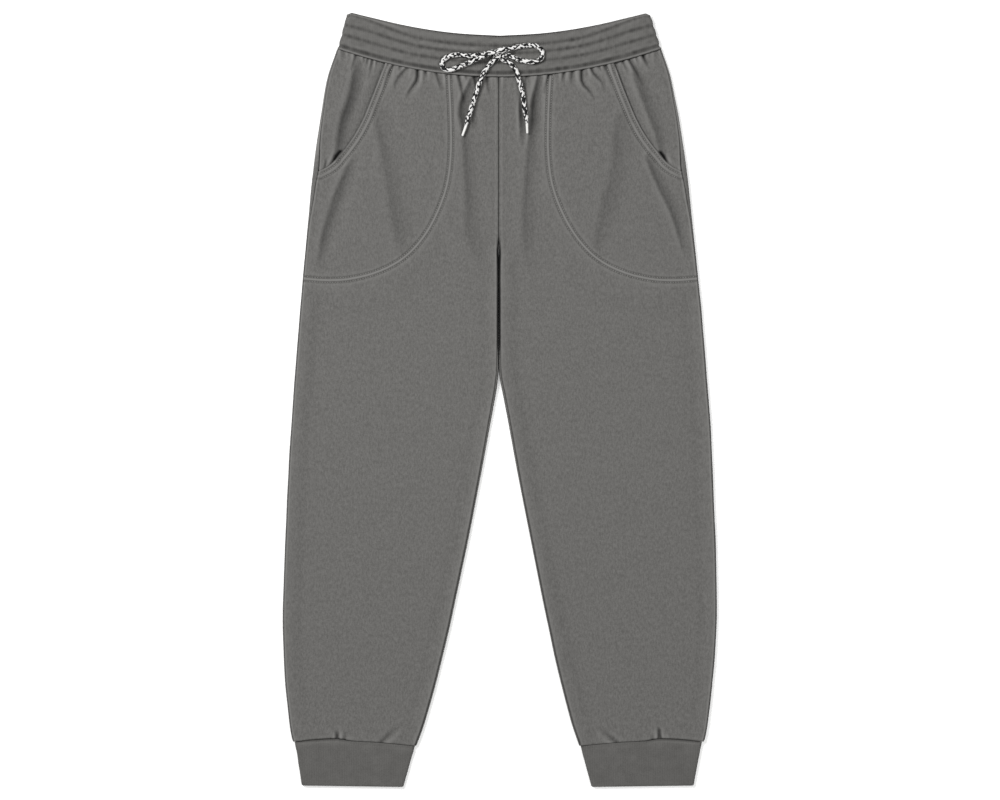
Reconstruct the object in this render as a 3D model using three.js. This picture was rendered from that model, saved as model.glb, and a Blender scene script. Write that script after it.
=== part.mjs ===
import * as THREE from 'three';

// Jogger sweatpants lying flat on their back, front panels up.
// Every length is in millimetres: +X to the viewer's right, +Y to the waist, +Z up from the surface.
// Left and right are the wearer's, so the left leg lies at +X.

// Driving dimensions
const clothThick = 2.4; // brushed fleece
const bagThick = 1.6; // pocket bag cloth
const seamGap = 0.3; // between two sewn pieces
const bagLay = clothThick + seamGap + bagThick; // top of the bag where the front covers it
const waistGap = 0.5; // between the panels and the curved seam of the waistband
const edgeRadius = 4.2; // outside of a leg's folded edge
const rimReach = 24; // how far in from a folded edge the cloth takes to lie down
const waistY = 407; // waist seam at the centre front
const waistCurve = 0.000865; // the seam rises with the square of the distance from the centre
const bandTopY = 460.3; // top of the waistband at the centre front
const bandTopCurve = 0.000795;
const bandHalf = 202; // half width of the waistband at the seam and at its top
const bandTopHalf = 188;
const bandRadius = 5.3; // outside of the waistband's folded ends, half its full thickness
const bandHollow = 0.35; // half the gap between its two layers
const ribRise = 0.9; // how far a channel of the waistband swells
const crotchLevel = 219; // below the waist seam, at the centre
const hemLevel = 838; // where the cuffs are sewn on
const hemThickens = 740; // from this level down the leg is shaped by the cuff seam
const mouthFootY = 289; // the pocket mouth ends at the side seam here
const mouthHem = 0.6; // extra thickness of the turned edge of the mouth
const facingReach = 18; // how far from the mouth's edge the hip facing comes up to its full height
const bagFootInset = 9.4; // below the mouth the bag's edge is hidden this far in from the folded edge
const columnMargin = 3.4; // first and last columns of points of a panel
const frontColumns = 22;
const bagColumns = 13;
const cuffRadius = 3.6; // half the full thickness of a cuff
const cuffHollow = 0.3;
const cuffFootY = -487.6;
const cuffSlope = 0.0055; // the cuff's foot line rises outwards
const cuffTop = { low: 106.2, high: 258 }; // distances of its edges from the centre
const cuffFoot = { low: 121, high: 248 };
const cordRadius = 3;
const tipRadius = 1.6;

// Half width of the body and of the outer edge of a leg, down the garment
const outerEdge = [
  { y: 443, half: 203.8 },
  { y: 408, half: 216 },
  { y: 367, half: 223.7 },
  { y: 287, half: 235 },
  { y: 206, half: 242.6 },
  { y: 125, half: 250 },
  { y: 45, half: 256.5 },
  { y: -51, half: 264 },
  { y: -152, half: 269 },
  { y: -253, half: 272.8 },
  { y: -303, half: 273 },
  { y: -353, half: 270.6 },
  { y: -404, half: 265 },
  { y: -429, half: 260 },
];

// Distance of a leg's inner edge from the centre, below the crotch
const innerEdge = [
  { y: 188, half: 0.5 },
  { y: 60, half: 0.6 },
  { y: 35, half: 1.2 },
  { y: -1, half: 6.9 },
  { y: -101, half: 25.6 },
  { y: -202, half: 45.6 },
  { y: -303, half: 67.4 },
  { y: -404, half: 93.9 },
  { y: -434, half: 104 },
];

// The back panels come round both folded edges, so the seams lie this far in on the front
const seamInset = [
  { y: 443, outer: 0.9, inner: 1.6 },
  { y: 377, outer: 2, inner: 1.6 },
  { y: 327, outer: 3.8, inner: 1.6 },
  { y: 293, outer: 6.9, inner: 1.6 },
  { y: 272, outer: 5.2, inner: 1.6 },
  { y: 250, outer: 4, inner: 1.6 },
  { y: 221, outer: 1.6, inner: 1.6 },
  { y: 190, outer: 0.9, inner: 1.6 },
  { y: 56, outer: 0.9, inner: 1.9 },
  { y: 0, outer: 0.9, inner: 2.4 },
  { y: -60, outer: 0.9, inner: 1.8 },
  { y: -120, outer: 0.9, inner: 1.2 },
];

// Edge of the pocket mouth on the front panel
const mouthEdge = [
  { y: 426, half: 143.5 },
  { y: 396, half: 155 },
  { y: 372, half: 164.4 },
  { y: 355, half: 171.4 },
  { y: 335, half: 182.1 },
  { y: 319, half: 193.4 },
  { y: 307, half: 203.5 },
  { y: 300, half: 209 },
  { y: 293, half: 218.6 },
  { y: mouthFootY, half: 227 },
];

// Sewn edge of the pocket bag, from the waist round to the side seam
const bagEdge = [
  { y: 411, half: 64 },
  { y: 359, half: 61.5 },
  { y: 311, half: 61.3 },
  { y: 270, half: 66.6 },
  { y: 232, half: 80.7 },
  { y: 201, half: 99.6 },
  { y: 177, half: 124 },
  { y: 162, half: 152 },
  { y: 153, half: 190 },
];

// Height of the front's top face where it lies on the back panel alone, and over the pocket bag
const layHeight = [
  { y: 443, open: 9.8, pocket: 10.2, facing: 9.6 },
  { y: 395, open: 8.4, pocket: 9.5, facing: 8.8 },
  { y: 350, open: 7, pocket: 8.6, facing: 8 },
  { y: 250, open: 6.1, pocket: 7.9, facing: 7.4 },
  { y: 100, open: 5.6, pocket: 7.6, facing: 7.4 },
  { y: -380, open: 5.6, pocket: 7.6, facing: 7.4 },
  { y: -429, open: 6.6, pocket: 7.6, facing: 7.4 },
];

// On the front the cuff seam wanders a little from its level across the leg
const hemLine = [
  { half: 262, rise: 0.4 },
  { half: 206, rise: 4.1 },
  { half: 187, rise: 1.3 },
  { half: 153, rise: -0.6 },
  { half: 119, rise: -3.8 },
  { half: 104, rise: -4.9 },
];

// Gathers that the elastic draws in below the waist seam, from their root down
const gathers = [
  { x0: -181, y0: 434, x1: -187, y1: 415, width: 3.2, depth: 1.6 },
  { x0: -168, y0: 431, x1: -171, y1: 422, width: 3, depth: 1.2 },
  { x0: -155, y0: 427, x1: -160, y1: 418, width: 3.2, depth: 1.2 },
  { x0: -135, y0: 423, x1: -142, y1: 402, width: 3.4, depth: 1.7 },
  { x0: -123, y0: 420, x1: -130, y1: 397, width: 3.4, depth: 1.5 },
  { x0: -104, y0: 416, x1: -107, y1: 399, width: 3.6, depth: 2.2 },
  { x0: -107, y0: 399, x1: -116, y1: 380, width: 3.6, depth: 1.2 },
  { x0: -94, y0: 414, x1: -93, y1: 405, width: 2.8, depth: 1 },
  { x0: -79, y0: 412, x1: -77, y1: 396, width: 3.4, depth: 1.6 },
  { x0: -52, y0: 409, x1: -48, y1: 385, width: 3.6, depth: 1.8 },
  { x0: -34, y0: 408, x1: -32, y1: 386, width: 3.4, depth: 1.6 },
  { x0: -17, y0: 407, x1: -11, y1: 380, width: 3.4, depth: 1.5 },
  { x0: 22, y0: 407, x1: 25, y1: 386, width: 3.4, depth: 1.5 },
  { x0: 43, y0: 408, x1: 43, y1: 372, width: 4.2, depth: 1.7 },
  { x0: 62, y0: 410, x1: 58, y1: 397, width: 3.4, depth: 1.5 },
  { x0: 76, y0: 412, x1: 74, y1: 402, width: 3, depth: 1 },
  { x0: 90, y0: 414, x1: 89, y1: 400, width: 3.2, depth: 1.3 },
  { x0: 103, y0: 416, x1: 106, y1: 398, width: 3.6, depth: 2.2 },
  { x0: 106, y0: 398, x1: 122, y1: 372, width: 3.6, depth: 1.3 },
  { x0: 117, y0: 419, x1: 130, y1: 395, width: 3.4, depth: 1.6 },
  { x0: 137, y0: 423, x1: 145, y1: 397, width: 3.4, depth: 1.5 },
  { x0: 154, y0: 428, x1: 159, y1: 413, width: 3.2, depth: 1.4 },
  { x0: 165, y0: 431, x1: 168, y1: 420, width: 3, depth: 1.2 },
  { x0: 181, y0: 435, x1: 187, y1: 409, width: 3.4, depth: 1.7 },
];

// Broad hollows of the hip and thigh: the same depth all along, and soft at both ends
const hollows = [
  { x0: -180, y0: 408, x1: -190, y1: 375, width: 9, depth: 1.1 },
  { x0: -190, y0: 375, x1: -204, y1: 318, width: 8, depth: 1.1 },
  { x0: -198, y0: 300, x1: -209, y1: 275, width: 9, depth: 0.9 },
  { x0: -209, y0: 275, x1: -227, y1: 207, width: 8, depth: 0.7 },
  { x0: 179, y0: 399, x1: 193, y1: 358, width: 9, depth: 1.1 },
  { x0: 193, y0: 358, x1: 206, y1: 314, width: 8, depth: 1.1 },
  { x0: 200, y0: 296, x1: 215, y1: 244, width: 9, depth: 0.9 },
  { x0: 215, y0: 244, x1: 231, y1: 190, width: 8, depth: 0.7 },
  { x0: -153, y0: 365, x1: -140, y1: 287, width: 12, depth: 0.6 },
  { x0: -140, y0: 287, x1: -128, y1: 211, width: 13, depth: 0.7 },
  { x0: 159, y0: 333, x1: 129, y1: 226, width: 13, depth: 0.7 },
  { x0: -40, y0: 350, x1: -36, y1: 251, width: 10, depth: 0.7 },
  { x0: -36, y0: 251, x1: -28, y1: 200, width: 12, depth: 0.6 },
  { x0: 30, y0: 350, x1: 33, y1: 239, width: 10, depth: 0.7 },
  { x0: 33, y0: 239, x1: 36, y1: 196, width: 12, depth: 0.6 },
];

// Pinched fullness above the cuff seams
const pinches = [
  { x0: -206, y0: -428, x1: -206, y1: -416, width: 3.4, depth: 1.8 },
  { x0: -145, y0: -430, x1: -126, y1: -414, width: 4, depth: 1.1 },
  { x0: 202, y0: -428, x1: 202, y1: -415, width: 3.4, depth: 1.8 },
  { x0: 132, y0: -432, x1: 147, y1: -415, width: 4, depth: 1.1 },
];

// Rows of the panels, as levels below the waist seam at the centre
const legLevels = [228, 250, 285, 325, 372, 410, 455, 510, 570, 640, 710, 770, 808, 826, hemLevel];
const frontLevels = [
  0, 4, 9, 18, 25, 32, 46, 62, 78, 96, 108, 116, 126, 142, 165, 190, 210, ...legLevels,
];
const backLevels = [
  0, 9, 18, 32, 46, 62, 78, 96, 108, 116, 126, 142, 165, 190, 210, ...legLevels,
];
const bagLevels = [0, 9, 18, 32, 46, 62, 78, 96, 108, 116, 126, 142, 165, 190, 215, 235, 252];

// Channels of the waistband: grooves and crests from the seam up, at the centre and at the ends
const bandProfile = [
  { centre: 0, end: 0, swell: 0.2 },
  { centre: 0.045, end: 0.045, swell: 0.7 },
  { centre: 0.11, end: 0.12, swell: 0 },
  { centre: 0.235, end: 0.26, swell: 1 },
  { centre: 0.35, end: 0.4, swell: 0 },
  { centre: 0.46, end: 0.53, swell: 1 },
  { centre: 0.57, end: 0.66, swell: 0 },
  { centre: 0.665, end: 0.79, swell: 1 },
  { centre: 0.76, end: 0.92, swell: 0 },
  { centre: 0.88, end: 0.965, swell: 0.8 },
  { centre: 0.985, end: 0.99, swell: -1.2 },
];

// Outside of a cuff from its seam to its folded foot, where it is rounded off
const cuffProfile = [
  { down: 0, round: 0.4 },
  { down: 0.06, round: 0 },
  { down: 0.4, round: 0 },
  { down: 0.8, round: 0 },
  { down: 0.985, round: 0.5 },
];

// Routes of the drawcord, which lies on the waistband and on the front panels
const cordRoutes = {
  cord_loop_right: [
    { x: -11.2, y: 437.6, z: 15.4 },
    { x: -23.3, y: 434.6, z: 14.8 },
    { x: -38.4, y: 432.9, z: 14.8 },
    { x: -51, y: 434.4, z: 14.8 },
    { x: -63, y: 433, z: 14.8 },
    { x: -71, y: 428, z: 14.8 },
    { x: -73.2, y: 422, z: 14.8 },
    { x: -69.9, y: 416.6, z: 14.8 },
    { x: -62.9, y: 415.4, z: 14.8 },
    { x: -51.3, y: 419.2, z: 15.4 },
    { x: -38.4, y: 424.6, z: 17.2 },
    { x: -27.1, y: 429.6, z: 20.6 },
    { x: -18, y: 433.4, z: 21.8 },
    { x: -11.2, y: 436.4, z: 21.8 },
  ],
  cord_loop_left: [
    { x: 9.6, y: 440.9, z: 18.6 },
    { x: 20, y: 443.8, z: 15.6 },
    { x: 32.1, y: 445.8, z: 14.8 },
    { x: 43, y: 446, z: 14.8 },
    { x: 50.8, y: 442.1, z: 14.8 },
    { x: 53.5, y: 435.7, z: 14.8 },
    { x: 51, y: 429, z: 14.8 },
    { x: 43.8, y: 425.5, z: 14.8 },
    { x: 34.6, y: 425.9, z: 14.8 },
    { x: 23.3, y: 428.3, z: 14.8 },
    { x: 15.8, y: 431.4, z: 14.8 },
    { x: 9.4, y: 434, z: 15.4 },
  ],
  cord_tail_right: [
    { x: -7.4, y: 428.2, z: 15.6 },
    { x: -12.2, y: 423, z: 14.8 },
    { x: -19.2, y: 414, z: 14.8 },
    { x: -23.4, y: 405, z: 14.6 },
    { x: -26.6, y: 397, z: 13.4 },
    { x: -30.9, y: 384, z: 12 },
    { x: -35.9, y: 368, z: 11.4 },
    { x: -40.6, y: 354, z: 11.1 },
    { x: -43, y: 345, z: 11.1 },
  ],
  cord_tail_left: [
    { x: 6.6, y: 426.8, z: 15.6 },
    { x: 13.4, y: 423, z: 14.8 },
    { x: 20.4, y: 414, z: 14.8 },
    { x: 23.2, y: 405, z: 14.6 },
    { x: 25.6, y: 397, z: 13.4 },
    { x: 28.6, y: 384, z: 12 },
    { x: 31, y: 368, z: 11.4 },
    { x: 33, y: 355, z: 11.1 },
    { x: 33.8, y: 348, z: 11.1 },
  ],
};
const tipRoutes = {
  cord_tip_right: [{ x: -43.1, y: 344.6, z: 11 }, { x: -47.6, y: 332.4, z: 9.8 }],
  cord_tip_left: [{ x: 33.9, y: 347.6, z: 11 }, { x: 34.4, y: 335.6, z: 9.4 }],
};
const knotCentre = new THREE.Vector3(0.2, 436, 18.3);
const knotHalf = new THREE.Vector3(9.6, 7.6, 6.8);

// Finishes
const thighCloth = new THREE.MeshStandardMaterial({ color: 0x706f6d, roughness: 0.95, metalness: 0 });
const bandCloth = new THREE.MeshStandardMaterial({ color: 0x676664, roughness: 0.95, metalness: 0 });
const cuffCloth = new THREE.MeshStandardMaterial({ color: 0x61605e, roughness: 0.95, metalness: 0 });
const cordBraid = new THREE.MeshStandardMaterial({ color: 0xb9b9b7, roughness: 0.8, metalness: 0 });
const tipPlastic = new THREE.MeshStandardMaterial({ color: 0xf2f2f0, roughness: 0.35, metalness: 0 });

const mix = THREE.MathUtils.lerp;
const smooth = (from, to, value) => THREE.MathUtils.smoothstep(value, from, to);

// Smooth value of a column of a table, whose rows run down in the key column
function read(table, column, value, key = 'y') {
  const last = table.length - 1;
  if (value >= table[0][key]) return table[0][column];
  if (value <= table[last][key]) return table[last][column];
  let i = 0;
  while (table[i + 1][key] > value) i += 1;
  const slope = (low, high) =>
    (table[high][column] - table[low][column]) / (table[high][key] - table[low][key]);
  const span = table[i + 1][key] - table[i][key];
  const t = (value - table[i][key]) / span;
  const start = slope(Math.max(i - 1, 0), i + 1) * span;
  const end = slope(i, Math.min(i + 2, last)) * span;
  const a = table[i][column];
  const b = table[i + 1][column];
  const bend = (t * t * t - 2 * t * t + t) * start + (t * t * t - t * t) * end;
  return mix(a, b, t * t * (3 - 2 * t)) + bend;
}

// Deepest fold of a table at a point; each keeps a share of its depth at its far end
function deepest(folds, x, y, endShare) {
  const depths = folds.map((fold) => {
    const run = new THREE.Vector2(fold.x1 - fold.x0, fold.y1 - fold.y0);
    const reach = new THREE.Vector2(x - fold.x0, y - fold.y0);
    const along = THREE.MathUtils.clamp(reach.dot(run) / run.lengthSq(), 0, 1);
    const away = reach.distanceTo(run.multiplyScalar(along));
    return fold.depth * mix(1, endShare, along) * Math.exp(-((away / fold.width) ** 2));
  });
  return Math.max(...depths);
}

// Depth of the cloth at a point below the face that has no folds
const foldDepth = (x, y) =>
  deepest(gathers, x, y, 0.25) + deepest(hollows, x, y, 1) + deepest(pinches, x, y, 0.25);

// Rise of the cuff seam above its level; on the back it runs straight
function hemRise(half, layer) {
  const line = layer === 'front' ? hemLine : [hemLine[0], hemLine[hemLine.length - 1]];
  return read(line, 'rise', half, 'half');
}

// Height along Y of a row at a distance from the centre
function rowY(level, half, layer = 'front') {
  const waist = waistCurve * half * half * (1 - smooth(0, 190, level));
  const hem = hemRise(half, layer) * smooth(hemThickens, hemLevel, level);
  return waistY - Math.max(level, waistGap) + waist + hem;
}

// Where a row meets the folded edges, and how far in its seams lie
function rowEdges(level) {
  let outer = bandHalf;
  for (let i = 0; i < 8; i += 1) outer = read(outerEdge, 'half', rowY(level, outer));
  const legs = level > crotchLevel;
  let inner = seamGap / 2;
  for (let i = 0; i < 8 && legs; i += 1) inner = read(innerEdge, 'half', rowY(level, inner));
  const y = rowY(level, outer);
  return {
    level,
    legs,
    outer,
    inner,
    outerInset: read(seamInset, 'outer', y),
    innerInset: legs ? read(seamInset, 'inner', y) : 0,
  };
}

// Height of a folded edge's outside, at a distance in from its outermost line
function rim(distance) {
  const inward = Math.min(distance, edgeRadius);
  return edgeRadius + Math.sqrt(edgeRadius ** 2 - (edgeRadius - inward) ** 2);
}

// Share of a face's height that still follows the folded edge
const rimShare = (distance) => 1 - smooth(edgeRadius, rimReach, distance);

// Height of the front panel's top face, with its folds
function frontTop(side, half, y, edges) {
  const overBag = smooth(-34, -12, half - read(bagEdge, 'half', y)) * smooth(118, 140, y);
  const lay = mix(read(layHeight, 'open', y), read(layHeight, 'pocket', y), overBag);
  const outward = edges.outer - half;
  let z = mix(lay, rim(outward), rimShare(outward));
  if (edges.legs) z = mix(z, rim(half - edges.inner), rimShare(half - edges.inner));
  const mouth = y > mouthFootY ? read(mouthEdge, 'half', y) - half : Infinity;
  const hemmed = mouthHem * (1 - smooth(7, 12, mouth));
  return z + hemmed - foldDepth(side * half, y);
}

// The point under one of a wall's top face: near a folded edge the cloth turns down with the edge
function pointUnder(side, half, z, thick, edges) {
  let turn = Math.PI / 2;
  let towards = -1;
  if (edges.outer - half < edgeRadius) {
    turn = Math.acos(1 - (edges.outer - half) / edgeRadius);
  }
  if (edges.legs && half - edges.inner < edgeRadius) {
    turn = Math.acos(1 - (half - edges.inner) / edgeRadius);
    towards = 1;
  }
  const inner = half + towards * thick * Math.cos(turn);
  return new THREE.Vector3(side * inner, rowY(edges.level, inner), z - thick * Math.sin(turn));
}

// One closed solid through rows of outer and inner points, closed round or capped at both ends
function loft(name, material, rows, closed) {
  const loops = rows.map((row) => [...row.outer, ...[...row.inner].reverse()]);
  const around = loops[0].length;
  const positions = loops.flat().flatMap((point) => point.toArray());
  const triangles = [];
  const quad = (a, b, c, d) => triangles.push(a, b, c, a, c, d);
  const joins = closed ? loops.length : loops.length - 1;
  for (let j = 0; j < joins; j += 1) {
    const here = j * around;
    const next = ((j + 1) % loops.length) * around;
    for (let i = 0; i < around; i += 1) {
      const beside = (i + 1) % around;
      quad(here + i, here + beside, next + beside, next + i);
    }
  }
  if (!closed) {
    const end = (loops.length - 1) * around;
    for (let i = 0; i < around / 2 - 1; i += 1) {
      const under = around - 1 - i;
      quad(i, under, under - 1, i + 1);
      quad(end + i, end + i + 1, end + under - 1, end + under);
    }
  }
  const corner = (index) => new THREE.Vector3().fromArray(positions, 3 * index);
  let volume = 0;
  for (let i = 0; i < triangles.length; i += 3) {
    const [a, b, c] = triangles.slice(i, i + 3).map(corner);
    volume += a.dot(b.cross(c));
  }
  if (volume < 0) triangles.reverse();
  const geometry = new THREE.BufferGeometry();
  geometry.setAttribute('position', new THREE.Float32BufferAttribute(positions, 3));
  geometry.setIndex(triangles);
  geometry.computeVertexNormals();
  const mesh = new THREE.Mesh(geometry, material);
  mesh.name = name;
  return mesh;
}

// Places across a row: one just inside each end, and even steps between
function across(from, to, count) {
  const first = from + columnMargin;
  const last = to - columnMargin;
  const places = [from, first];
  for (let i = 1; i < count; i += 1) places.push(mix(first, last, i / count));
  places.push(last, to);
  return places;
}

// Front panel: from the centre seam or inseam to the pocket mouth or the side seam
function frontPanel(name, side) {
  const rows = frontLevels.map((level) => {
    const edges = rowEdges(level);
    let reach = edges.outer - edges.outerInset;
    for (let i = 0; i < 12; i += 1) {
      const y = rowY(level, reach);
      const mouth = y > mouthFootY ? read(mouthEdge, 'half', y) : edges.outer;
      reach = mix(reach, Math.min(mouth, edges.outer - edges.outerInset), 0.7);
    }
    const row = { outer: [], inner: [] };
    for (const half of across(edges.inner + edges.innerInset, reach, frontColumns)) {
      const y = rowY(level, half);
      const z = frontTop(side, half, y, edges);
      row.outer.push(new THREE.Vector3(side * half, y, z));
      row.inner.push(pointUnder(side, half, z, clothThick, edges));
    }
    return row;
  });
  return loft(name, thighCloth, rows, false);
}

// Back panel: flat on the surface, and rolled up over both folded edges to the seams
function backPanel(name, side) {
  const rollSteps = 5;
  const floorSteps = 6;
  const rows = backLevels.map((level) => {
    const edges = rowEdges(level);
    const row = { outer: [], inner: [] };
    const place = (half, z, innerHalf, innerZ) => {
      row.outer.push(new THREE.Vector3(side * half, rowY(level, half, 'back'), z));
      row.inner.push(new THREE.Vector3(side * innerHalf, rowY(level, innerHalf, 'back'), innerZ));
    };
    const roll = (centre, towards, angle) => {
      const outX = towards * Math.cos(angle);
      const inside = edgeRadius - clothThick;
      place(centre + edgeRadius * outX, edgeRadius * (1 + Math.sin(angle)),
        centre + inside * outX, edgeRadius + inside * Math.sin(angle));
    };
    const startInset = edges.outerInset - seamGap;
    const outerCentre = edges.outer - edgeRadius;
    const flatTop = Math.max(startInset - edgeRadius, 0);
    const startAngle = Math.acos(1 - Math.min(startInset, edgeRadius) / edgeRadius);
    place(outerCentre - flatTop + edgeRadius * Math.cos(startAngle), rim(startInset),
      outerCentre - flatTop + (edgeRadius - clothThick) * Math.cos(startAngle),
      edgeRadius + (edgeRadius - clothThick) * Math.sin(startAngle));
    for (let i = 1; i <= rollSteps; i += 1) {
      roll(outerCentre, 1, mix(startAngle - 0.12, -Math.PI / 2, (i - 1) / (rollSteps - 1)));
    }
    const innerCentre = edges.legs ? edges.inner + edgeRadius : edges.inner + 9;
    for (let i = 1; i < floorSteps; i += 1) {
      const half = mix(outerCentre, innerCentre, i / floorSteps);
      place(half, 0, half, clothThick);
    }
    const endInset = edges.innerInset - seamGap;
    const endAngle = Math.acos(1 - Math.max(endInset, 0) / edgeRadius);
    for (let i = 0; i <= rollSteps; i += 1) {
      const t = i / rollSteps;
      if (edges.legs) {
        roll(innerCentre, -1, mix(-Math.PI / 2, endAngle, t));
      } else {
        const half = mix(innerCentre, edges.inner, t);
        place(half, 0, half, clothThick);
      }
    }
    return row;
  });
  return loft(name, thighCloth, rows, false);
}

// Pocket bag: hidden between the panels, and rising to face the hip in the pocket mouth
function pocketBag(name, side) {
  const rows = bagLevels.map((level) => {
    const edges = rowEdges(level);
    const edgeY = rowY(level, edges.outer);
    const sewn = mix(edges.outerInset + seamGap, bagFootInset,
      1 - smooth(mouthFootY + 5, mouthFootY + 17, edgeY));
    let inner = bagEdge[0].half;
    for (let i = 0; i < 8; i += 1) inner = read(bagEdge, 'half', rowY(level, inner));
    const row = { outer: [], inner: [] };
    for (const half of across(inner + 1, edges.outer - sewn, bagColumns)) {
      const y = rowY(level, half);
      const past = y > mouthFootY ? half - read(mouthEdge, 'half', y) : 0;
      const shown = smooth(0, facingReach, past);
      const outward = edges.outer - half;
      const facing = mix(read(layHeight, 'facing', y), rim(outward), rimShare(outward));
      const folded = facing - foldDepth(side * half, y);
      const z = mix(bagLay, folded, shown);
      row.outer.push(new THREE.Vector3(side * half, y, z));
      row.inner.push(pointUnder(side, half, z, bagThick, edges));
    }
    return row;
  });
  return loft(name, thighCloth, rows, false);
}

// Stations round a flattened tube: front from left to right, a fold, the back, and a fold
function roundStations(frontCount, backCount, foldCount) {
  const stations = [];
  for (let i = 0; i <= frontCount; i += 1) {
    stations.push({ t: mix(-1, 1, i / frontCount), angle: Math.PI / 2 });
  }
  for (let i = 1; i < foldCount; i += 1) {
    stations.push({ t: 1, angle: mix(Math.PI / 2, -Math.PI / 2, i / foldCount) });
  }
  for (let i = 0; i <= backCount; i += 1) {
    stations.push({ t: mix(1, -1, i / backCount), angle: -Math.PI / 2 });
  }
  for (let i = 1; i < foldCount; i += 1) {
    stations.push({ t: -1, angle: mix(-Math.PI / 2, -1.5 * Math.PI, i / foldCount) });
  }
  return stations;
}

// Waistband: one elastic tube, its channels raised on the front and round its folded ends
function waistband() {
  const bandY = (x, v) =>
    mix(waistY + waistCurve * x * x, bandTopY + bandTopCurve * x * x, v);
  const rows = roundStations(34, 12, 6).map(({ t, angle }) => {
    const lift = Math.sin(angle);
    const place = (v, radius, swell) => {
      const centre = t * (mix(bandHalf, bandTopHalf, v) - bandRadius);
      const x = centre + (radius + swell) * Math.cos(angle);
      return new THREE.Vector3(x, bandY(x, v), bandRadius + (radius + swell) * lift);
    };
    const raised = smooth(-0.9, 0.2, lift);
    const ends = smooth(0.5, 0.9, Math.abs(t));
    const outer = bandProfile.map((line) =>
      place(mix(line.centre, line.end, ends), bandRadius, line.swell * ribRise * raised));
    outer.push(place(1, mix(bandHollow, bandRadius, 0.45), 0));
    const inner = [0, 0.5, 0.975].map((v) => place(v, bandHollow, 0));
    return { outer, inner };
  });
  return loft('waistband', bandCloth, rows, true);
}

// Cuff: a doubled rib-knit tube, sewn to the hem
function cuff(name, side) {
  const rows = roundStations(16, 8, 5).map(({ t, angle }) => {
    const place = (v, radius) => {
      const low = mix(cuffTop.low, cuffFoot.low, v) + cuffRadius;
      const high = mix(cuffTop.high, cuffFoot.high, v) - cuffRadius;
      const half = mix(low, high, (t + 1) / 2) + radius * Math.cos(angle);
      const layer = angle === Math.PI / 2 ? 'front' : 'back';
      const seamY = waistY - hemLevel + hemRise(half, layer) - seamGap;
      const footY = cuffFootY + cuffSlope * (half - cuffFoot.low);
      return new THREE.Vector3(side * half, mix(seamY, footY, v),
        cuffRadius + radius * Math.sin(angle));
    };
    const outer = cuffProfile.map(({ down, round }) => place(down, cuffRadius - round));
    outer.push(place(1, mix(cuffHollow, cuffRadius, 0.5)));
    const inner = [0, 0.5, 0.985].map((v) => place(v, cuffHollow));
    return { outer, inner };
  });
  return loft(name, cuffCloth, rows, true);
}

// A plain tube along a route
function tube(name, material, route, radius, steps) {
  const path = new THREE.CatmullRomCurve3(route.map(({ x, y, z }) => new THREE.Vector3(x, y, z)));
  const sides = 8;
  const section = new THREE.Shape();
  for (let i = 0; i < sides; i += 1) {
    const angle = (2 * Math.PI * i) / sides;
    const point = [radius * Math.cos(angle), radius * Math.sin(angle)];
    if (i === 0) section.moveTo(...point);
    else section.lineTo(...point);
  }
  section.closePath();
  const geometry = new THREE.ExtrudeGeometry(section, {
    steps,
    bevelEnabled: false,
    extrudePath: path,
  });
  const mesh = new THREE.Mesh(geometry, material);
  mesh.name = name;
  return mesh;
}

// The bow's knot: a rounded lump with the turns of the cord round it
function knot() {
  const geometry = new THREE.SphereGeometry(1, 16, 12);
  const place = geometry.attributes.position;
  for (let i = 0; i < place.count; i += 1) {
    const point = new THREE.Vector3().fromBufferAttribute(place, i);
    const turns = 1 + 0.06 * Math.cos(4 * (point.x + 0.5 * point.y));
    point.multiply(knotHalf).multiplyScalar(turns);
    place.setXYZ(i, point.x, point.y, point.z);
  }
  const mesh = new THREE.Mesh(geometry, cordBraid);
  mesh.position.copy(knotCentre);
  mesh.name = 'cord_knot';
  return mesh;
}

const group = new THREE.Group();
for (const [word, side] of [['left', 1], ['right', -1]]) {
  group.add(frontPanel(`front_${word}`, side));
  group.add(backPanel(`back_${word}`, side));
  group.add(pocketBag(`pocket_bag_${word}`, side));
  group.add(cuff(`cuff_${word}`, side));
}
group.add(waistband());
group.add(knot());
for (const [name, route] of Object.entries(cordRoutes)) {
  group.add(tube(name, cordBraid, route, cordRadius, route.length + 2));
}
for (const [name, route] of Object.entries(tipRoutes)) {
  group.add(tube(name, tipPlastic, route, tipRadius, 2));
}

export default group;
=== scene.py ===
import math
import bmesh
import bpy
import numpy as np
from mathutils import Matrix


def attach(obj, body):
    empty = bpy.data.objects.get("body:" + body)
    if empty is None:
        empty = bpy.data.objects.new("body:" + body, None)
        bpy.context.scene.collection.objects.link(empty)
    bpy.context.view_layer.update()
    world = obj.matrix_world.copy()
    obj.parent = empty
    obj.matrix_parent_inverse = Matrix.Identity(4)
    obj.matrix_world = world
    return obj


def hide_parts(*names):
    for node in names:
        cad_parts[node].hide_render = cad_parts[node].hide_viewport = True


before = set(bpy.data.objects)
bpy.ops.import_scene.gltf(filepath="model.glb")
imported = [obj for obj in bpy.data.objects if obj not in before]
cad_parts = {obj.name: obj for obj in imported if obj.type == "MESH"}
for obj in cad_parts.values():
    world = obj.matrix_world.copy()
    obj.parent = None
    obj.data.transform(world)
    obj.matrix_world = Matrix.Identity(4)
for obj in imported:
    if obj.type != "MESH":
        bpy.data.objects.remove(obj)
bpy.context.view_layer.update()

# Jogger sweatpants laid flat on their back. Sizes are in millimetres until a mesh is made.
# Left and right are the wearer's: side +1 is the left leg, which lies at +X.
mm = 0.001
sides = (("left", 1), ("right", -1))


# Small helpers
def linear(hexColour):
    # sRGB hex to the linear colour that shaders take
    values = [int(hexColour[i:i + 2], 16) / 255 for i in (1, 3, 5)]
    return tuple(v / 12.92 if v <= 0.04045 else ((v + 0.055) / 1.055) ** 2.4 for v in values) + (1,)


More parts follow.
